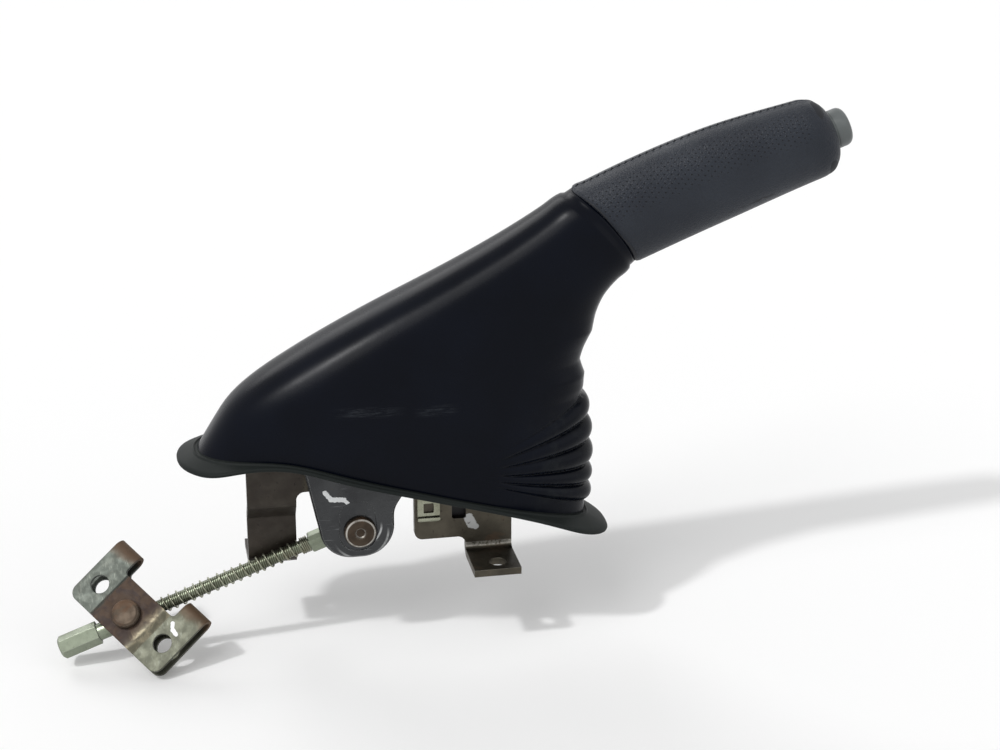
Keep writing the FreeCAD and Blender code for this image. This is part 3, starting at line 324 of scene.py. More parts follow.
# Steel finishes
def steelMaterial(name, look, extra=None):
    material, tree, shader = newMaterial(name)
    point = objectPlace(tree)
    cloud = noise(tree, point, look["cloudScale"], 5.0)
    fine = noise(tree, point, 900.0, 6.0, 0.7)
    brush = noise(tree, stretched(tree, point, look["brush"]), 260.0, 3.0)
    color = blendColor(tree, ramp(tree, cloud, 0.35, 0.7), look["color"], look["second"])
    stain = ramp(tree, noise(tree, point, look["rustScale"], 6.0, 0.65, 0.4), look["rustFrom"],
        look["rustFrom"] + 0.14)
    color = blendColor(tree, times(tree, stain, look["rust"]), color, look["rustColor"])
    color = blendColor(tree, ramp(tree, fine, 0.52, 0.75, 0.0, 0.35), color, look["grime"])
    rough = plus(tree, ramp(tree, brush, 0.3, 0.7, look["rough"][0], look["rough"][1]),
                 times(tree, stain, 0.28 * look["rust"]), clamp=True)
    metal = minus(tree, look["metal"], times(tree, stain, 0.75 * look["rust"]), clamp=True)
    height = plus(tree, times(tree, fine, 0.4), times(tree, brush, 0.6))
    # edges are read as slightly rounded, and rubbed bare where the rounded normal leaves the flat one
    edge = place(tree, "ShaderNodeBevel", {"Radius": look["edge"] * mm}, samples=4).outputs["Normal"]
    flatNormal = place(tree, "ShaderNodeNewGeometry").outputs["Normal"]
    lean = minus(tree, 1.0, vectorCalc(tree, "DOT_PRODUCT", edge, flatNormal))
    rubbed = times(tree, ramp(tree, lean, 0.02, 0.12), ramp(tree, fine, 0.3, 0.6, 0.35, 1.0))
    color = blendColor(tree, times(tree, rubbed, look["rubbed"]), color, look["bare"])
    normal = bump(tree, height, look["relief"] * mm, 0.5, edge)
    if extra is not None:
        color, rough, metal, normal = extra(tree, color, rough, metal, normal)
    for key, value in (("Base Color", color), ("Roughness", rough), ("Metallic", metal),
            ("Normal", normal)):
        tree.links.new(value, shader.inputs[key])
    return material


steelLook = {
    "color": (0.22, 0.215, 0.19), "second": (0.15, 0.14, 0.12), "grime": (0.05, 0.045, 0.035),
    "rustColor": (0.13, 0.062, 0.026), "rust": 0.5, "rustFrom": 0.56, "rustScale": 60.0,
    "cloudScale": 45.0, "brush": (1.0, 1.0, 1.0), "rough": (0.34, 0.5), "metal": 0.9, "relief": 0.05,
    "edge": 0.5, "rubbed": 0.5, "bare": (0.34, 0.33, 0.30)}


def steelOf(**changes):
    return {**steelLook, **changes}


def paintDaub(tree, u, v, strokes, ragged):
    masks = [strokeMask(tree, u, v, start, end, radius, ragged) for start, end, radius in strokes]
    total = masks[0]
    for mask in masks[1:]:
        total = calc(tree, "MAXIMUM", total, mask)
    return total


# A short worn dab of white paint on the near ear
earDaub = {
    "strokes": [((-29.5, 43.6), (-26.6, 39.6), 1.2), ((-26.6, 39.6), (-20.6, 39.2), 1.35),
        ((-20.6, 39.2), (-17.6, 36.2), 1.0)],
    "color": (0.84, 0.86, 0.86)}


# painted highlight lines on the ear, along its rounded lower rim and round the recess's lower right: centre, radius,
# half width, fade along X, strength
earRimHighlights = [
    ((-13.0, 21.7), 13.6, 0.75, (-13.0, -6.0), 0.55), ((-13.0, 24.5), 10.3, 0.7, (1.0, 4.5), 0.9)]


def earFinish(tree, color, rough, metal, normal):
    x, y, z = localPlace(tree, (0, 0, 0), ((1 / mm, 0, 0), (0, 1 / mm, 0), (0, 0, 1 / mm)))
    ragged = noise(tree, objectPlace(tree), 700.0, 3.0)
    near = ramp(tree, y, -11.3, -11.45)
    daub = times(tree, paintDaub(tree, x, z, earDaub["strokes"], ragged), near)
    scratch = noise(tree, stretched(tree, objectPlace(tree), (0.25, 1.0, 6.0), (0.0, 0.5, 0.0)), 300.0, 2.0)
    worn = times(tree, ramp(tree, scratch, 0.66, 0.74), 0.55)
    color = blendColor(tree, worn, color, (0.20, 0.205, 0.21))
    # painted highlights: light rings on the lower side of the ear's rim and of its recess
    for (middleX, middleZ), radius, half, (fromX, toX), strength in earRimHighlights:
        offX, offZ = minus(tree, x, middleX), minus(tree, z, middleZ)
        reach = planeLength(tree, offX, offZ)
        ring = ramp(tree, calc(tree, "ABSOLUTE", minus(tree, reach, radius)), half, half * 0.3)
        ring = times(tree, ring, ramp(tree, offZ, 2.0, -3.0))
        ring = times(tree, ring, ramp(tree, offX, fromX, toX))
        ring = times(tree, times(tree, ring, near), ramp(tree, ragged, 0.3, 0.6, strength * 0.6, strength))
        color = blendColor(tree, ring, color, (0.50, 0.51, 0.51))
    color = blendColor(tree, daub, color, earDaub["color"])
    rough = plus(tree, rough, times(tree, daub, 0.25), clamp=True)
    metal = times(tree, metal, minus(tree, 1.0, daub))
    return color, rough, metal, bump(tree, daub, 0.15 * mm, 1.0, normal)


# The bracket: almost black rear strap, a painted highlight line along the front foot's bend, a blob of white paint
bracketMarks = {
    "strap": (0.024, 0.018, 0.013), "strapEnd": (-40.0, -37.0), "bend": (6.2, 1.5, 0.7), "bendFrom": 36.0,
    "bright": (0.62, 0.60, 0.54), "blob": [((41.6, 20.4), (43.2, 16.8), 2.5),
        ((43.2, 16.8), (45.2, 15.4), 1.7)]}


def bracketFinish(tree, color, rough, metal, normal):
    marks = bracketMarks
    x, y, z = localPlace(tree, (0, 0, 0), ((1 / mm, 0, 0), (0, 1 / mm, 0), (0, 0, 1 / mm)))
    point = objectPlace(tree)
    strap = ramp(tree, x, marks["strapEnd"][1], marks["strapEnd"][0])
    patch = noise(tree, point, 140.0, 5.0, 0.6)
    color = blendColor(tree, times(tree, strap, ramp(tree, patch, 0.3, 0.75, 1.0, 0.72)), color,
        marks["strap"])
    metal = minus(tree, metal, times(tree, strap, 0.35))
    level, wide, narrow = marks["bend"]
    ragged = noise(tree, point, 620.0, 4.0, 0.7)
    near = ramp(tree, y, -1.0, -2.5)
    # painted highlight: a light line along the front foot's bend, on the near side only
    line = ramp(tree, calc(tree, "ABSOLUTE", minus(tree, z, level)), wide, narrow)
    line = times(tree, times(tree, line, ramp(tree, x, marks["bendFrom"], marks["bendFrom"] + 3)), near)
    color = blendColor(tree, times(tree, line, ramp(tree, ragged, 0.34, 0.56)), color, marks["bright"])
    blob = times(tree, paintDaub(tree, x, z, marks["blob"], ragged), near)
    color = blendColor(tree, blob, color, earDaub["color"])
    metal = times(tree, metal, minus(tree, 1.0, blob))
    pits = ramp(tree, noise(tree, point, 480.0, 3.0), 0.66, 0.72)
    color = blendColor(tree, times(tree, pits, 0.8), color, (0.02, 0.016, 0.012))
    return color, rough, metal, bump(tree, minus(tree, blob, pits), 0.15 * mm, 0.8, normal)


# The equaliser: rusty raised middle with a painted highlight along its right slope, grey wings, a dab of paint
plateLook = {
    "paint": (0.86, 0.87, 0.87),
    # the colour called worn is a painted highlight for the raised middle's right slope
    "rust": (0.062, 0.036, 0.021), "purple": (0.036, 0.021, 0.016), "worn": (0.34, 0.30, 0.21),
    "leftWing": (0.066, 0.073, 0.064), "rightWing": (0.082, 0.084, 0.064), "foldRust": (0.10, 0.050, 0.022),
    "strokes": [((-12.0, -19.0), (-9.8, -21.2), 1.0), ((-9.8, -21.2), (-9.2, -24.4), 1.05)]}


def equaliserFinish(tree, color, rough, metal, normal):
    scale = 1 / mm
    rear, span, face = localPlace(tree, trunnionPlace,
        (plateRear * scale, plateSpan * scale, swivelAxis * scale))
    point = objectPlace(tree)
    patch = noise(tree, point, 190.0, 5.0, 0.6, 0.6)
    broad = noise(tree, point, 70.0, 4.0)
    wobble = times(tree, minus(tree, broad, 0.5), 9.0)
    spread = plus(tree, span, wobble)
    middle = times(tree, ramp(tree, spread, -13.5, -9.5), ramp(tree, spread, 15.6, 13.2))
    wing = blendColor(tree, ramp(tree, span, -2.0, 2.0), plateLook["rightWing"], plateLook["leftWing"])
    wing = blendColor(tree, ramp(tree, patch, 0.5, 0.8, 0.0, 0.4), wing, (0.07, 0.07, 0.058))
    brushed = noise(tree, stretched(tree, point, (3.0, 1.0, 0.3), (0.0, 0.6, 0.0)), 420.0, 3.0)
    wing = blendColor(tree, ramp(tree, brushed, 0.56, 0.72, 0.0, 0.4), wing, (0.17, 0.18, 0.155))
    foldRust = times(tree, ramp(tree, plus(tree, rear, wobble), -17.0, -23.0), 0.75)
    wing = blendColor(tree, foldRust, wing, plateLook["foldRust"])
    rustColor = blendColor(tree, ramp(tree, patch, 0.42, 0.62), plateLook["rust"], plateLook["purple"])
    color = blendColor(tree, middle, wing, rustColor)
    # painted highlight: a patchy light band along the raised middle's right slope
    worn = times(tree, ramp(tree, span, -6.5, -13.0), ramp(tree, span, -15.8, -14.6))
    worn = times(tree, worn, ramp(tree, patch, 0.3, 0.6, 1.0, 0.25))
    color = blendColor(tree, worn, color, plateLook["worn"])
    ragged = noise(tree, point, 800.0, 3.0)
    near = ramp(tree, face, 4.0, 4.3)
    daub = times(tree, paintDaub(tree, rear, span, plateLook["strokes"], ragged), near)
    color = blendColor(tree, daub, color, plateLook["paint"])
    rusty = calc(tree, "MAXIMUM", middle, foldRust)
    rusty = times(tree, rusty, minus(tree, 1.0, worn))
    rough = plus(tree, rough, times(tree, rusty, 0.22), clamp=True)
    metal = minus(tree, metal, calc(tree, "MAXIMUM", times(tree, rusty, 0.7), daub), clamp=True)
    normal = bump(tree, plus(tree, patch, daub), 0.04 * mm, 0.6, normal)
    return color, rough, metal, normal


# light rings of the rivet's head, a polished ring near its edge and a painted glint round the dimple: radius, half
# width, strength
rivetPolishAndGlintRings = [(6.9, 0.55, 0.9), (2.3, 0.35, 0.6)]


def rivetFinish(tree, color, rough, metal, normal):
    # a polished ring near the edge of the round head on the clevis axis, and a painted glint ringing the dimple at its
    # middle
    offX, offZ = localPlace(tree, clevisPlace, ((1 / mm, 0, 0), (0, 0, 1 / mm)))
    reach = planeLength(tree, offX, offZ)
    patch = noise(tree, objectPlace(tree), 420.0, 4.0, 0.65)
    for radius, half, strength in rivetPolishAndGlintRings:
        ring = ramp(tree, calc(tree, "ABSOLUTE", minus(tree, reach, radius)), half, half * 0.3)
        ring = times(tree, ring, ramp(tree, patch, 0.35, 0.55, strength * 0.45, strength))
        color = blendColor(tree, ring, color, (0.52, 0.50, 0.46))
    rough = plus(tree, rough, 0.06)
    return color, rough, metal, bump(tree, patch, 0.05 * mm, 0.6, normal)


def dressCadNodes():
    finishes = {
        "bracket_steel": steelMaterial("bracketSteel", steelOf(
            color=(0.092, 0.082, 0.063), second=(0.055, 0.049, 0.038), rust=0.3, rustFrom=0.56,
            bare=(0.26, 0.25, 0.21)), bracketFinish),
        "lever_steel": steelMaterial("leverSteel", steelOf(
            color=(0.058, 0.060, 0.062), second=(0.040, 0.041, 0.043), grime=(0.03, 0.029,
                0.027), rust=0.08,
            rustFrom=0.62, rough=(0.2, 0.3), metal=0.95, relief=0.015, rubbed=0.8, bare=(0.30, 0.31,
                0.31)), earFinish),
        "pin_steel": steelMaterial("pinSteel", steelOf(
            color=(0.062, 0.045, 0.031), second=(0.040, 0.028,
                0.019), rust=0.6, rustFrom=0.5, cloudScale=160.0,
            rough=(0.40, 0.52), metal=0.75, rubbed=0.5, bare=(0.30, 0.27, 0.23)), rivetFinish),
        "dark_steel": steelMaterial("darkSteel", steelOf(color=(0.08, 0.078, 0.075),
            second=(0.05, 0.048, 0.045), rust=0.2)),
        "zinc_steel": steelMaterial("zincSteel", steelOf(
            color=(0.24, 0.27, 0.205), second=(0.12, 0.135, 0.095), rust=0.2, rustFrom=0.6, rough=(0.26,
                0.4),
            bare=(0.62, 0.64, 0.58))),
        "rod_thread": steelMaterial("rodThread", steelOf(
            color=(0.10, 0.105, 0.068), second=(0.05, 0.052, 0.033), rust=0.3, rough=(0.3,
                0.42), rubbed=0.2)),
        "spring_steel": steelMaterial("springSteel", steelOf(
            color=(0.34, 0.35, 0.27), second=(0.20, 0.20, 0.14), rust=0.3, cloudScale=70.0, rough=(0.22,
                0.34), edge=0.1,
            rubbed=0.0)),
        "equaliser_steel": steelMaterial("equaliserSteel",
            steelOf(rust=0.1, rough=(0.42, 0.54), rubbed=0.35), equaliserFinish),
        "core_plastic": plasticMaterial("corePlastic", (0.012, 0.013, 0.016), 0.6),
        "switch_plastic": plasticMaterial("switchPlastic", (0.012, 0.012, 0.013), 0.45),
        "button_plastic": plasticMaterial("buttonPlastic", (0.105, 0.115, 0.115), 0.36),
        "terminal_brass": steelMaterial("terminalBrass", steelOf(
            color=(0.55, 0.45, 0.25), second=(0.42, 0.34, 0.19), rust=0.1)),
    }
    for row in frame["record"]["subparts"]:
        finish = finishes.get(row["material_slot"])
        if finish is not None:
            mesh = nodes[row["node"]].data
            mesh.materials.clear()
            mesh.materials.append(finish)
    return finishes


def plasticMaterial(name, color, roughness):
    material, tree, shader = newMaterial(name)
    point = objectPlace(tree)
    grain = noise(tree, point, 2200.0, 2.0)
    cloud = noise(tree, point, 90.0, 4.0)
    shade = blendColor(tree, ramp(tree, cloud, 0.35, 0.75), color, tuple(c * 1.35 for c in color))
    tree.links.new(shade, shader.inputs["Base Color"])
    tree.links.new(ramp(tree, cloud, 0.3, 0.7, roughness - 0.05, roughness + 0.08),
        shader.inputs["Roughness"])
    tree.links.new(bump(tree, grain, 0.02 * mm, 0.4), shader.inputs["Normal"])
    shader.inputs["Specular IOR Level"].default_value = 0.25
    return material


# Rubber boot
bootLook = {
    "columns": 300, "pleatRows": 150, "upperRows": 70, "rimRows": 8, "innerRows": 46,
    "wall": 1.8, "pleatWall": 3.2, "flangeThickness": 2.0, "beadOut": 1.7, "beadHeight": 0.8,
    "flangeAt": [-92.0, -80.0, -66.0, -50.0, -30.0, 5.0, 35.0, 55.0, 72.0, 88.0, 104.0],
    "flangeWidth": [9.0, 10.5, 7.5, 4.2, 4.2, 3.6, 3.2, 4.4, 8.0, 11.5, 12.0],
    "droop": 4.0,
    "pleatHeight": 4.9, "pleatShare": 0.46, "pleatMiddle": 53.7,
    "color": (0.0014, 0.0022, 0.0050), "flangeColor": (0.011, 0.0135, 0.0130), "dust": (0.040, 0.045,
        0.042),
    "scuff": (0.060, 0.068, 0.078), "rubs": [(-10.0, 89.5, 19.0), (22.0, 88.5, 12.0)]}
bootStations = {
    "share": [0.0, 0.20, 0.40, 0.55, 0.70, 0.85, 1.0],
    "rearX": [-88.0, -78.0, -56.5, -15.0, 25.0, 62.0, None], "rearZ": [66.0, 82.0, 102.5, 126.0, 145.5,
        165.0, None],
    "frontX": [100.0, 101.0, 100.0, 97.0, 100.0, 107.0, None], "frontZ": [None, 44.0, 72.0, 96.0, 114.0,
        132.0, None],
    "halfWidth": [30.0, 31.0, 30.0, 27.5, 24.5, 21.0, 18.0]}
gripRearUp = 22.75


baseLook = {"rearX": -88.0, "frontX": 100.0, "level": 66.0, "fall": 0.303}


def baseHeight(x):  # level at the rear, then falling to the front
    def eased(past):
        return 0.5 * (past + np.sqrt(past * past + 22.0 ** 2))
    swell = 1.9 * np.exp(-((np.asarray(x) + 46.0) / 22.0) ** 2)  # pushed up a little over the lever's ear
    fallen = eased(np.asarray(x) + 50.0) - eased(baseLook["rearX"] + 50.0)
    return baseLook["level"] - baseLook["fall"] * fallen + swell


def gripRearEdge(up):  # a point of the leather's slanted rear edge, less a small gap, in millimetres
    place = gripEnd / mm + gripAlong * (-118.3 - 0.345 * up) + gripUp * up
    return place[0], place[2]


def bootForm(share, turn):
    # an oval ring at a share of the height, squarer at the base, leaning from the rear line to the front line
    topX, topZ = gripRearEdge(gripRearUp)
    lowX, lowZ = gripRearEdge(-gripRearUp)
    table = {key: list(values) for key, values in bootStations.items()}
    table["rearX"][-1], table["rearZ"][-1] = topX, topZ
    table["frontX"][-1], table["frontZ"][-1] = lowX, lowZ
    table["frontZ"][0] = float(baseHeight(baseLook["frontX"]))
    row = {key: splineThrough(table["share"], table[key], share) for key in table if key != "share"}
    power = 2 / (2.6 - 0.25 * share)
    cosine, sine = np.cos(turn), np.sin(turn)
    ahead = np.sign(cosine) * np.abs(cosine) ** power
    out = np.sign(sine) * np.abs(sine) ** power
    x = (row["rearX"] + row["frontX"]) / 2 + (row["frontX"] - row["rearX"]) / 2 * ahead
    z = (row["rearZ"] + row["frontZ"]) / 2 + (row["frontZ"] - row["rearZ"]) / 2 * ahead
    y = row["halfWidth"] * out
    chordZ = baseLook["level"] + (baseHeight(baseLook["frontX"]) - baseLook["level"]) * (1 + ahead) / 2
    chordX = 6.0 + 94.0 * ahead
    z = z + (baseHeight(chordX) - chordZ) * (1 - share) ** 2
    bulge = 4.0 * out * out * share ** 8
    return np.stack([x, y, z], -1) + gripAlong * bulge[..., None]


def bootRelief(point, share, turn):
    # concertina lobes which fan out from a short root line, soft waves up the front edge, a rolled top rim
    x, z = point[..., 0], point[..., 2]
    reach = np.clip((x - 46.0) / 56.0, 0.0, 1.0)
    pitch = 2.9 + 9.9 * reach
    phase = (z - (54.5 - (54.5 - bootLook["pleatMiddle"]) * reach)) / pitch
    phase = phase + 0.28 * np.minimum(phase + 0.5, 0)  # the lowest lobes are narrower
    lobe = phase - np.round(phase)
    arch = np.sqrt(np.clip(1 - (2 * lobe) ** 2, 0, 1)) - 0.60
    window = smoothStep((2.58 - phase) / 0.16) * smoothStep((phase + 2.58) / 0.16)
    pleats = bootLook["pleatHeight"] * pitch / 12.8 * smoothStep(reach * 4.0) * arch * window * smoothStep(share / 0.03)
    frontness = smoothStep((np.cos(turn) - 0.45) / 0.5)
    waves = np.interp(z, [84, 88, 94, 101, 108, 116, 124, 133], [-1.2, 0.2, 1.2, -1.2, -0.3, 1.3, 0.4, 0.0])
    rim = 0.35 * np.exp(-((share - 0.955) / 0.018) ** 2) - 1.1 * smoothStep((share - 0.972) / 0.012)
    sag = 0.9 * np.exp(-((share - 0.62) / 0.16) ** 2) * -np.abs(np.sin(turn)) ** 3
    return pleats + waves * frontness * (1 - window * smoothStep(reach)) + rim + sag


def bootSurface(shares, turns, depth, reliefShare):
    share, turn = np.meshgrid(shares, turns, indexing="ij")
    small = 1e-3
    point = bootForm(share, turn)
    up = bootForm(np.minimum(share + small, 1), turn) - bootForm(np.maximum(share - small, 0), turn)
    around = bootForm(share, turn + small) - bootForm(share, turn - small)
    normal = np.cross(around, up)
    normal /= np.linalg.norm(normal, axis=-1, keepdims=True)
    point = point + normal * (bootRelief(point, share, turn) * reliefShare - depth)[..., None]
    # the rim stays just behind the leather's curved rear edge
    past = point - gripEnd / mm
    limit = -118.35 - 0.345 * (past @ gripUp) + 4.0 * (point[..., 1] / 18.0) ** 2
    return point + gripAlong * np.minimum(limit - past @ gripAlong, 0)[..., None]


def addBoot():
    look = bootLook
    columns = look["columns"]
    turns = np.linspace(0, 2 * np.pi, columns, endpoint=False)
    turns = turns - 0.30 * np.sin(turns)  # closer together over the pleated front
    lower = np.linspace(0, look["pleatShare"], look["pleatRows"], endpoint=False)
    upper = np.linspace(look["pleatShare"], 0.94, look["upperRows"], endpoint=False)
    rim = np.linspace(0.94, 1.0, look["rimRows"])
    outer = bootSurface(np.concatenate([lower, upper, rim]), turns, 0.0, 1.0)
    deeper = look["pleatWall"] * smoothStep((np.cos(turns) + 0.1) / 0.5)[None, :]
    innerShare = np.linspace(0, 1, look["innerRows"])
    deeper = deeper * smoothStep((0.56 - innerShare) / 0.1)[:, None]
    inner = bootSurface(innerShare, turns, look["wall"] + deeper, 0.0)
    foot = outer[0]
    run = np.roll(foot, -1, 0) - np.roll(foot, 1, 0)
    outward = np.stack([run[:, 1], -run[:, 0], np.zeros(columns)], -1)
    outward /= np.linalg.norm(outward, axis=1, keepdims=True)
    thick = look["flangeThickness"]
    width = splineThrough(look["flangeAt"], look["flangeWidth"], foot[:, 0])
    bead = look["beadOut"]
    droop = look["droop"] * (smoothStep((foot[:, 0] - 62.0) / 36.0) + smoothStep((-58.0 - foot[:,
        0]) / 24.0))
    # each row: a share of the flange's width, a distance added to it, and a lift
    profile = [(0, 0.35, 0.25), (0, 0.8, 0.05), (0, 1.1, 0.1), (0, bead - 0.3, look["beadHeight"] * 0.85),
               (0, bead, look["beadHeight"]), (0, bead + 0.3, look["beadHeight"] * 0.8), (0, bead + 0.6,
                   0.05),
               (0, bead + 0.9, 0.0), (0.8, 0.0, -0.05), (1, -0.6, -0.1), (1, -0.2, -0.5), (1, 0,
                   -thick * 0.5),
               (1, -0.25, -thick * 0.85), (1, -0.8, -thick), (0.5, 0, -thick), (0, 0.5, -thick)]
    rows = []
    for part, distance, lift in profile:
        reach = width * part + distance
        row = foot + outward * reach[:, None]
        row[:, 2] = baseHeight(row[:, 0]) + lift - droop * np.clip(reach / 12.0, 0, 1) ** 1.5
        rows.append(row)
    inner[0, :, 2] -= thick
    grid = np.concatenate([outer[::-1], np.array(rows), inner]) * mm
    piece = addSurface("rubber_boot", grid, closeAlong=True)
    addVertexValues(piece, "restPlace", grid.reshape(-1, 3))
    wallRows = len(outer)
    flange = np.zeros(grid.shape[:2])
    flange[wallRows - 3:wallRows + len(rows)] = 1.0
    addVertexValues(piece, "flange", flange.ravel())
    piece.data.materials.append(bootMaterial())
    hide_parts("boot")
    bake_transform(piece)
    print("rubber boot", len(piece.data.polygons), "faces")


def bootMaterial():
    material, tree, shader = newMaterial("bootRubber")
    rest = place(tree, "ShaderNodeAttribute", attribute_name="restPlace").outputs["Vector"]
    flange = place(tree, "ShaderNodeAttribute", attribute_name="flange").outputs["Fac"]
    cloud = noise(tree, rest, 26.0, 5.0)
    fine = noise(tree, rest, 700.0, 5.0, 0.7)
    speck = noise(tree, rest, 1800.0, 2.0)
    x, y, z = (vectorCalc(tree, "DOT_PRODUCT", rest, axis) for axis in ((1 / mm, 0, 0), (0, 1 / mm, 0),
        (0, 0, 1 / mm)))
    pleated = times(tree, ramp(tree, x, 52.0, 92.0), ramp(tree, z, 86.0, 76.0))
    dust = times(tree, pleated, ramp(tree, noise(tree, rest, 120.0, 5.0, 0.65), 0.45, 0.8, 0.03, 0.4))
    dust = calc(tree, "MAXIMUM", dust, times(tree, flange, ramp(tree, cloud, 0.35, 0.8, 0.0, 0.35)))
    foot = ramp(tree, calc(tree, "ABSOLUTE", minus(tree, flange, 0.5)), 0.45, 0.2)
    dust = calc(tree, "MAXIMUM", dust, times(tree, foot, 0.6))
    color = blendColor(tree, ramp(tree, cloud, 0.3, 0.75), bootLook["color"],
        tuple(c * 1.5 for c in bootLook["color"]))
    color = blendColor(tree, flange, color, bootLook["flangeColor"])
    color = blendColor(tree, times(tree, dust, ramp(tree, fine, 0.2, 0.8, 0.3, 0.8)), color,
        bootLook["dust"])
    # two faint rubbed patches low on the near side, and a few specks
    streak = noise(tree, stretched(tree, rest, (0.10, 1.0, 1.6)), 900.0, 6.0, 0.8)
    scuff = ramp(tree, speck, 0.80, 0.84, 0.0, 0.14)
    for middle, level, wide in bootLook["rubs"]:
        away = calc(tree, "ABSOLUTE", minus(tree, x, middle))
        lift = calc(tree, "ABSOLUTE", minus(tree, z, level))
        patch = times(tree, ramp(tree, away, wide, wide * 0.3), ramp(tree, lift, 3.4, 0.4))
        patch = times(tree, patch, ramp(tree, y, 0.0, -10.0))
        scuff = calc(tree, "MAXIMUM", scuff, times(tree, patch, ramp(tree, streak, 0.45, 0.7, 0.0, 0.5)))
    color = blendColor(tree, scuff, color, bootLook["scuff"])
    rough = ramp(tree, cloud, 0.25, 0.75, 0.22, 0.30)
    rough = plus(tree, rough, times(tree, calc(tree, "MAXIMUM", dust, scuff), 0.2), clamp=True)
    rough = plus(tree, rough, times(tree, flange, 0.25), clamp=True)
    height = plus(tree, cloud, times(tree, fine, 0.03))
    tree.links.new(color, shader.inputs["Base Color"])
    tree.links.new(rough, shader.inputs["Roughness"])
    tree.links.new(bump(tree, height, 0.6 * mm, 0.35), shader.inputs["Normal"])
    shader.inputs["Specular IOR Level"].default_value = 0.085
    return material


# Leather grip
gripLook = {
    "length": 118.0, "rearHeight": 45.5, "frontHeight": 39.5, "rearWidth": 36.0, "frontWidth": 32.0,
    "nose": 12.0, "mouth": 9.75, "slant": 0.345, "bulge": 4.0, "squareness": 2.35, "bow": 0.9, "crown": 2.4, "edgeRound": 3.0,
    "leather": 1.5, "columns": 180, "bodyRows": 110, "noseRows": 18, "lip": 1.7,
    "hole": 0.42, "holePitch": (2.55, 2.5), "color": (0.0090, 0.0125, 0.0200), "worn": (0.0165, 0.0215,
        0.0310),
    "holeBand": (20.0, 12.0, 6.5)}


def gripSection(place, turn, shrink):
    # rounded oval section at a distance behind the front end: returns up and out
    look = gripLook
    share = -place / look["length"]
    tall = (look["frontHeight"] + (look["rearHeight"] - look["frontHeight"]) * share) / 2 - shrink
    wide = (look["frontWidth"] + (look["rearWidth"] - look["frontWidth"]) * share) / 2 - shrink
    power = 2 / look["squareness"]
    up = np.sign(np.cos(turn)) * np.abs(np.cos(turn)) ** power * tall
    out = np.sign(np.sin(turn)) * np.abs(np.sin(turn)) ** power * wide
    return up, out


def gripPlace(placeAlong, up, out):
    # the grip bows slightly upwards between its two ends, more along its crown
    look = gripLook
    middle = np.clip(1 - ((placeAlong + look["length"] / 2) / (look["length"] / 2)) ** 2, 0, 1)
    lift = middle * (look["bow"] + look["crown"] * np.clip((up + 20) / 40, 0, 1))
    lower = smoothStep((placeAlong + 62.0) / 52.0) * np.where(up > 0, 0.065, 0.03)
    lifted = up * (1 - lower) + lift
    return (gripEnd / mm + gripAlong * placeAlong[..., None] + gripUp * lifted[..., None] + side * out[...,
        None]) * mm


def gripSheet(turns, shrink, mouth):
    # front mouth circle eased into the oval body, then rows which lean over to the slanted rear edge
    look = gripLook
    nose = np.linspace(np.pi / 2, 0, look["noseRows"], endpoint=False)[:, None]
    share = np.linspace(0, 1, look["bodyRows"])[:, None]
    turn = turns[None, :]
    upBody, outBody = gripSection(np.full((1, 1), -look["nose"]), turn, shrink)
    weight = np.cos(nose)
    upNose = upBody * weight + mouth * np.cos(turn) * (1 - weight)
    outNose = outBody * weight + mouth * np.sin(turn) * (1 - weight)
    alongNose = -look["nose"] + (look["nose"] - shrink) * np.sin(nose) + 0 * turn
    upRear, outRear = gripSection(np.full((1, 1), -look["length"]), turn, shrink)
    rear = -look["length"] - look["slant"] * upRear + look["bulge"] * (outRear / 18.0) ** 2
    alongBody = -look["nose"] * (1 - share) + rear * share
    upRows, outRows = gripSection(alongBody, turn, shrink)
    return (np.concatenate([alongNose, alongBody]), np.concatenate([upNose, upRows]),
        np.concatenate([outNose, outRows]))


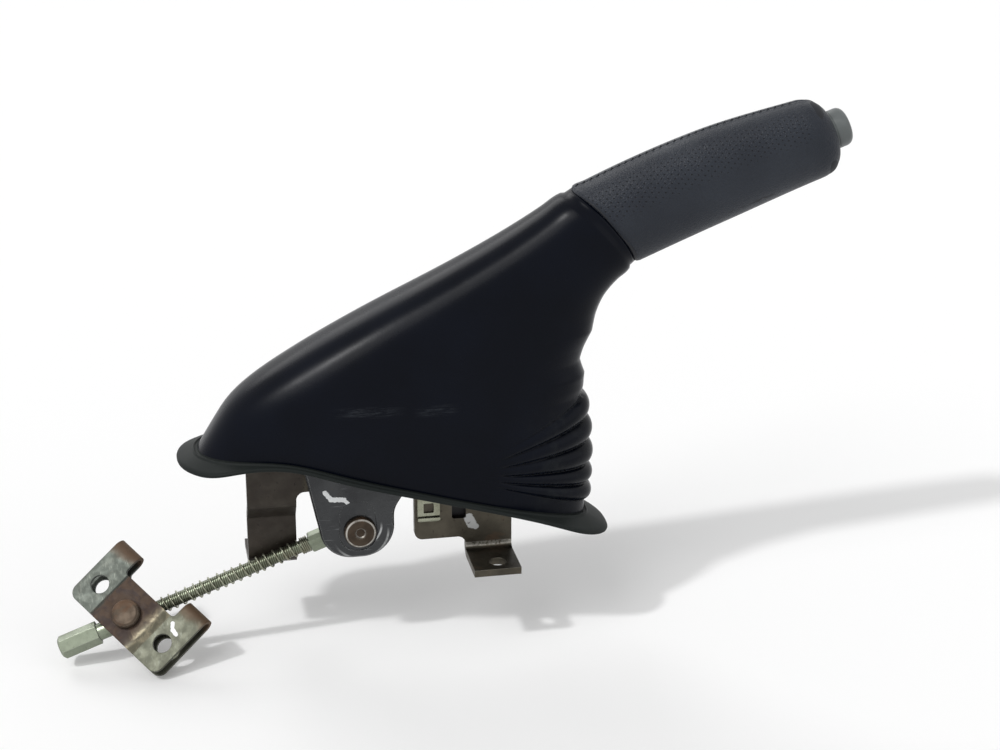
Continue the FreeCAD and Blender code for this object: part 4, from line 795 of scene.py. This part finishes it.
def addGrip():
    look = gripLook
    turns = np.linspace(0, 2 * np.pi, look["columns"], endpoint=False) + np.pi
    outerAlong, outerUp, outerOut = gripSheet(turns, 0.0, look["mouth"])
    # a shallow seam groove along the crown, with the two edges swelling beside it
    near = np.where(outerUp > 0, outerOut, 99.0)
    groove = -0.55 * np.exp(-(near / 0.45) ** 2) + 0.28 * np.exp(-((np.abs(near) - 1.25) / 0.7) ** 2)
    seamed = smoothStep((-outerAlong - 3.0) / 5.0)
    outerUp = outerUp + groove * seamed
    # the rear end is pulled in by the edge's turn
    back = np.clip(1 - (outerAlong - outerAlong[-1:]) / look["edgeRound"], 0, 1)
    pull = 1 - look["edgeRound"] * 0.45 * (1 - np.sqrt(1 - back ** 2 * 0.999)) / 20.0
    outerUp, outerOut = outerUp * pull, outerOut * pull
    # the rear edge is turned under
    lipTurn = np.linspace(0, np.pi, 9)[1:]
    lip = look["lip"] / 2
    edgeUp, edgeOut, edgeAlong = outerUp[-1], outerOut[-1], outerAlong[-1]
    size = np.sqrt(edgeUp ** 2 + edgeOut ** 2)
    lipShrink = (lip * (1 - np.cos(lipTurn)))[:, None] / size
    lipUp, lipOut = edgeUp * (1 - lipShrink), edgeOut * (1 - lipShrink)
    lipAlong = edgeAlong - lip * np.sin(lipTurn)[:, None] * 0.8
    innerAlong, innerUp, innerOut = (part[::-1] for part in gripSheet(turns, look["leather"],
        look["mouth"]))
    rows = [np.concatenate(parts) for parts in
            ((outerAlong, lipAlong, innerAlong), (outerUp, lipUp, innerUp), (outerOut, lipOut, innerOut))]
    grid = gripPlace(*rows)
    around = np.linspace(-64.0, 64.0, look["columns"] + 1) * 0.01
    distance = np.linalg.norm(np.diff(grid, axis=0), axis=-1).mean(1)
    alongAt = np.concatenate([[0], np.cumsum(distance), [0]]) / mm * 0.01
    piece = addSurface("leather_grip", grid, closeAlong=True, pattern=(around, alongAt))
    piece.data.materials.append(leatherMaterial())
    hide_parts("grip_leather")
    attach(piece, "lever")
    addStitches()
    print("leather grip", len(piece.data.polygons), "faces")


stitchLook = {"pitch": 3.6, "reach": 1.5, "lean": 0.9, "thread": 0.42, "arch": 0.55, "first": -15.0,
    "color": (0.012, 0.014, 0.018)}


def addStitches():
    # each stitch is a short arched thread that crosses the seam at a slant
    look = stitchLook
    places = np.arange(look["first"], -gripLook["length"] - 5.5, -look["pitch"])
    across = np.linspace(-1, 1, 9)
    sides = 8
    turn = np.linspace(0, 2 * np.pi, sides, endpoint=False)
    sAlong = places[:, None] + look["lean"] * across[None, :]
    up, _ = gripSection(sAlong, np.zeros_like(sAlong), 0.0)
    out = look["reach"] * across[None, :] + 0 * sAlong
    arch = look["arch"] * (1 - across ** 4) - 0.25 - out ** 2 * 0.004
    line = gripPlace(sAlong, up + arch, out)
    thick = look["thread"] * mm * (0.55 + 0.45 * np.sqrt(np.clip(1 - across ** 2, 0, 1)))
    ringUp = gripUp[None, None, None] * np.cos(turn)[None, None, :, None]
    ringAlong = gripAlong[None, None, None] * np.sin(turn)[None, None, :, None]
    grid = line[:, :, None] + (ringUp + ringAlong) * thick[None, :, None, None]
    count, rows = grid.shape[:2]
    i, j = np.meshgrid(np.arange(rows - 1), np.arange(sides), indexing="ij")
    quad = np.stack([i * sides + j, (i + 1) * sides + j, (i + 1) * sides + (j + 1) % sides,
        i * sides + (j + 1) % sides], -1)
    quads = (quad.reshape(1, -1, 4) + np.arange(count)[:, None, None] * rows * sides).reshape(-1, 4)
    ends = np.stack([np.arange(sides)[::-1], (rows - 1) * sides + np.arange(sides)])
    caps = (ends[None] + np.arange(count)[:, None, None] * rows * sides).reshape(-1, sides)
    mesh = bpy.data.meshes.new("seam_stitches")
    mesh.from_pydata(grid.reshape(-1, 3).tolist(), [], quads.tolist() + caps.tolist())
    mesh.shade_smooth()
    piece = bpy.data.objects.new("seam_stitches", mesh)
    bpy.context.scene.collection.objects.link(piece)
    piece.data.materials.append(plasticMaterial("seamThread", look["color"], 0.6))
    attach(piece, "lever")


def leatherMaterial():
    material, tree, shader = newMaterial("gripLeather")
    pattern = place(tree, "ShaderNodeUVMap", uv_map="pattern").outputs["UV"]
    split = place(tree, "ShaderNodeSeparateXYZ", {"Vector": pattern})
    u = times(tree, split.outputs["X"], 100.0)
    v = times(tree, split.outputs["Y"], 100.0)
    point = objectPlace(tree)
    # staggered rows of small holes over both flanks, fading out towards the crown and the underside
    pitchU, pitchV = gripLook["holePitch"]
    gv = calc(tree, "DIVIDE", v, pitchV)
    row = calc(tree, "FLOOR", gv)
    gu = plus(tree, calc(tree, "DIVIDE", u, pitchU), times(tree, calc(tree, "MODULO", row, 2.0), 0.5))
    cu = times(tree, minus(tree, calc(tree, "FRACT", gu), 0.5), pitchU)
    cv = times(tree, minus(tree, calc(tree, "FRACT", gv), 0.5), pitchV)
    reach = planeLength(tree, cu, cv)
    hole = ramp(tree, reach, gripLook["hole"], gripLook["hole"] * 0.5)
    middle, wide, full = gripLook["holeBand"]
    flank = calc(tree, "ABSOLUTE", minus(tree, calc(tree, "ABSOLUTE", u), middle))
    band = times(tree, ramp(tree, flank, wide, full),
        times(tree, ramp(tree, v, 14.0, 20.0), ramp(tree, v, 126.0, 118.0)))
    hole = times(tree, hole, band)
    pebble = place(tree, "ShaderNodeTexVoronoi", {"Vector": point, "Scale": 900.0},
        feature="DISTANCE_TO_EDGE").outputs["Distance"]
    crease = ramp(tree, pebble, 0.0, 0.22)
    wrinkle = noise(tree, point, 320.0, 5.0, 0.6, 0.8)
    cloud = noise(tree, point, 30.0, 4.0)
    color = blendColor(tree, ramp(tree, cloud, 0.3, 0.75), gripLook["color"], gripLook["worn"])
    color = blendColor(tree, times(tree, minus(tree, 1.0, crease), 0.35), color, (0.008, 0.009, 0.013))
    color = blendColor(tree, hole, color, (0.003, 0.003, 0.005))
    rough = ramp(tree, cloud, 0.25, 0.8, 0.46, 0.38)
    rough = plus(tree, rough, times(tree, hole, 0.3), clamp=True)
    height = plus(tree, times(tree, crease, 0.35), times(tree, wrinkle, 0.8))
    height = minus(tree, height, times(tree, hole, 1.6))
    tree.links.new(color, shader.inputs["Base Color"])
    tree.links.new(rough, shader.inputs["Roughness"])
    tree.links.new(bump(tree, height, 0.26 * mm, 0.9), shader.inputs["Normal"])
    shader.inputs["Specular IOR Level"].default_value = 0.26
    shader.inputs["Sheen Weight"].default_value = 0.03
    shader.inputs["Sheen Roughness"].default_value = 0.5
    return material


# Push button
buttonLook = {"radius": 9.4, "height": 8.5, "skirt": 6.0, "wall": 1.9, "shoulder": 3.6, "columns": 96}


def addButton(finish):
    # a turned profile: skirt, small groove, barrel, rounded shoulder, faintly domed end
    look = buttonLook
    radius, height = look["radius"], look["height"]
    turn = np.linspace(0, np.pi / 2, 10)
    shoulder = look["shoulder"]
    outline = [(-look["skirt"], radius), (0.2, radius), (0.5, radius - 0.35), (0.9, radius - 0.35),
        (1.2, radius)]
    outline += [(height - shoulder + shoulder * math.sin(a),
        radius - shoulder + shoulder * math.cos(a)) for a in turn]
    outline += [(height + 0.35, radius * 0.45), (height + 0.5, radius * 0.2), (height + 0.52, 0.02)]
    inner = [(height - 3.6, 0.02), (height - 3.6, radius - look["wall"]),
        (-look["skirt"], radius - look["wall"])]
    profile = np.array(outline + inner)
    angle = np.linspace(0, 2 * np.pi, look["columns"], endpoint=False)
    around = gripUp * np.cos(angle)[:, None] + side * np.sin(angle)[:, None]
    grid = gripEnd + gripAlong * (profile[:, 0] * mm)[:, None,
        None] + around[None] * (profile[:, 1] * mm)[:, None, None]
    piece = addSurface("release_button", grid, closeAlong=True)
    bevel = piece.modifiers.new("edges", "BEVEL")
    bevel.width = 0.15 * mm
    bevel.segments = 2
    bevel.limit_method = "ANGLE"
    bevel.angle_limit = math.radians(40)
    piece.data.materials.append(finish)
    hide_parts("push_button")
    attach(piece, "button")
    print("push button done")


# Springs and the rod's thread
rodSpringLook = {"start": 25.5, "end": 112.4, "closeTurns": 4.2, "openTurns": 20.0, "wire": 0.42,
    "radius": 3.72, "closePitch": 0.95}


def addRodSpring(finish):
    # close coils against the blade, then wider turns of slightly uneven pitch
    look = rodSpringLook
    total = look["closeTurns"] + look["openTurns"]
    turns = np.linspace(0, total, int(total * 36))
    openPitch = (look["end"] - look["start"] - look["closePitch"] * look["closeTurns"]) / look["openTurns"]
    past = np.maximum(turns - look["closeTurns"], 0)
    height = look["start"] + look["closePitch"] * np.minimum(turns, look["closeTurns"]) + openPitch * past
    height = height + 0.35 * np.sin(past * 1.7) * np.clip(past / 3, 0, 1) * np.clip((total - turns) / 2, 0,
        1)
    radius = look["radius"] * mm * (1 + 0.012 * np.sin(turns * 2.3))
    path = helix(clevisPlace, rodAlong, height * mm, 2 * np.pi * turns, radius)
    piece = addSurface("rod_spring_wire", tube(path, look["wire"] * mm, 10), capEnds=True)
    piece.data.materials.append(finish)
    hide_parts("rod_spring")
    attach(piece, "rod")
    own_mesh(piece)
    print("rod spring done")


buttonSpringLook = {"start": -12.0, "end": 3.5, "turns": 5.0, "wire": 0.9, "radius": 5.15}


def addButtonSpring(finish):
    look = buttonSpringLook
    turns = np.linspace(0, look["turns"], int(look["turns"] * 36))
    height = look["start"] + (look["end"] - look["start"]) * turns / look["turns"]
    path = helix(gripEnd, gripAlong, height * mm, 2 * np.pi * turns,
        np.full(len(turns), look["radius"] * mm))
    piece = addSurface("button_return_spring", tube(path, look["wire"] * mm, 10), capEnds=True)
    piece.data.materials.append(finish)
    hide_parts("button_spring")
    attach(piece, "lever")
    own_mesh(piece)
    print("button spring done")


threadLook = {"start": 30.0, "end": 150.4, "pitch": 1.0, "root": 2.93, "crest": 3.17}


def addThread(finish):
    # a fine helical ridge on the rod: the radius rises and falls once a pitch, shifted by the angle round it
    look = threadLook
    rows = int((look["end"] - look["start"]) / look["pitch"] * 6)
    height = np.linspace(look["start"], look["end"], rows)[:, None]
    angle = np.linspace(0, 2 * np.pi, 24, endpoint=False)[None, :]
    wave = np.abs(((height / look["pitch"] + angle / (2 * np.pi)) % 1.0) * 2 - 1)
    radius = look["root"] + (look["crest"] - look["root"]) * wave
    fade = smoothStep((height - look["start"]) / 1.5) * smoothStep((look["end"] - height) / 1.0)
    radius = look["root"] + (radius - look["root"]) * fade
    first = np.cross(rodAlong, side)
    first /= np.linalg.norm(first)
    second = np.cross(rodAlong, first)
    around = first * np.cos(angle)[..., None] + second * np.sin(angle)[..., None]
    grid = clevisPlace + (rodAlong * height[..., None] + around * radius[..., None]) * mm
    piece = addSurface("rod_thread", grid, capEnds=True)
    piece.data.materials.append(finish)
    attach(piece, "rod")
    print("rod thread done")


# Stage
stageLook = {"floorDrop": 0.5, "floorSize": 14.0, "floorColor": (0.975, 0.975, 0.975), "world": 0.47}
lampLook = [
    {"name": "keyLamp", "toward": (-0.42, -0.50, 0.76), "strength": 0.70, "angle": 30.0},
    {"name": "glossLamp", "toward": (-0.52, -0.38, 0.76), "strength": 1.05, "angle": 4.0},
    {"name": "rimLamp", "toward": (-0.30, 0.75, 0.60), "strength": 0.55, "angle": 30.0},
    {"name": "fillLamp", "toward": (0.80, -0.45, 0.40), "strength": 0.25, "angle": 50.0}]


def addStage():
    size = stageLook["floorSize"]
    level = cadBox[0].z - stageLook["floorDrop"] * mm
    mesh = bpy.data.meshes.new("floor")
    mesh.from_pydata([(-size, -size, level), (size, -size, level), (size, size, level),
        (-size, size, level)], [], [(0, 1, 2, 3)])
    floor = bpy.data.objects.new("floor", mesh)
    bpy.context.scene.collection.objects.link(floor)
    material, tree, shader = newMaterial("floorPaper")
    shader.inputs["Base Color"].default_value = (*stageLook["floorColor"], 1.0)
    shader.inputs["Roughness"].default_value = 0.9
    shader.inputs["Specular IOR Level"].default_value = 0.0
    mesh.materials.append(material)
    world = bpy.data.worlds.new("studio")
    world.use_nodes = True
    bpy.context.scene.world = world
    tree = world.node_tree
    rays = place(tree, "ShaderNodeLightPath")
    seen = calc(tree, "MAXIMUM", rays.outputs["Is Camera Ray"],
                calc(tree, "MAXIMUM", rays.outputs["Is Glossy Ray"], rays.outputs["Is Transmission Ray"]))
    strength = ramp(tree, seen, 0.0, 1.0, stageLook["world"], 1.0)
    background = tree.nodes["Background"]
    background.inputs["Color"].default_value = (1.0, 1.0, 1.0, 1.0)
    tree.links.new(strength, background.inputs["Strength"])
    for row in lampLook:
        data = bpy.data.lights.new(row["name"], "SUN")
        data.energy = row["strength"]
        data.angle = math.radians(row["angle"])
        lamp = bpy.data.objects.new(row["name"], data)
        lamp.rotation_mode = "QUATERNION"
        lamp.rotation_quaternion = Vector(row["toward"]).to_track_quat("Z", "Y")
        bpy.context.scene.collection.objects.link(lamp)
    bpy.context.scene.view_settings.view_transform = "Standard"


addCamera()
addStage()
finishes = dressCadNodes()
print("cad nodes dressed")
addBoot()
addGrip()
addButton(finishes["button_plastic"])
addRodSpring(finishes["spring_steel"])
addButtonSpring(finishes["spring_steel"])
addThread(finishes["rod_thread"])
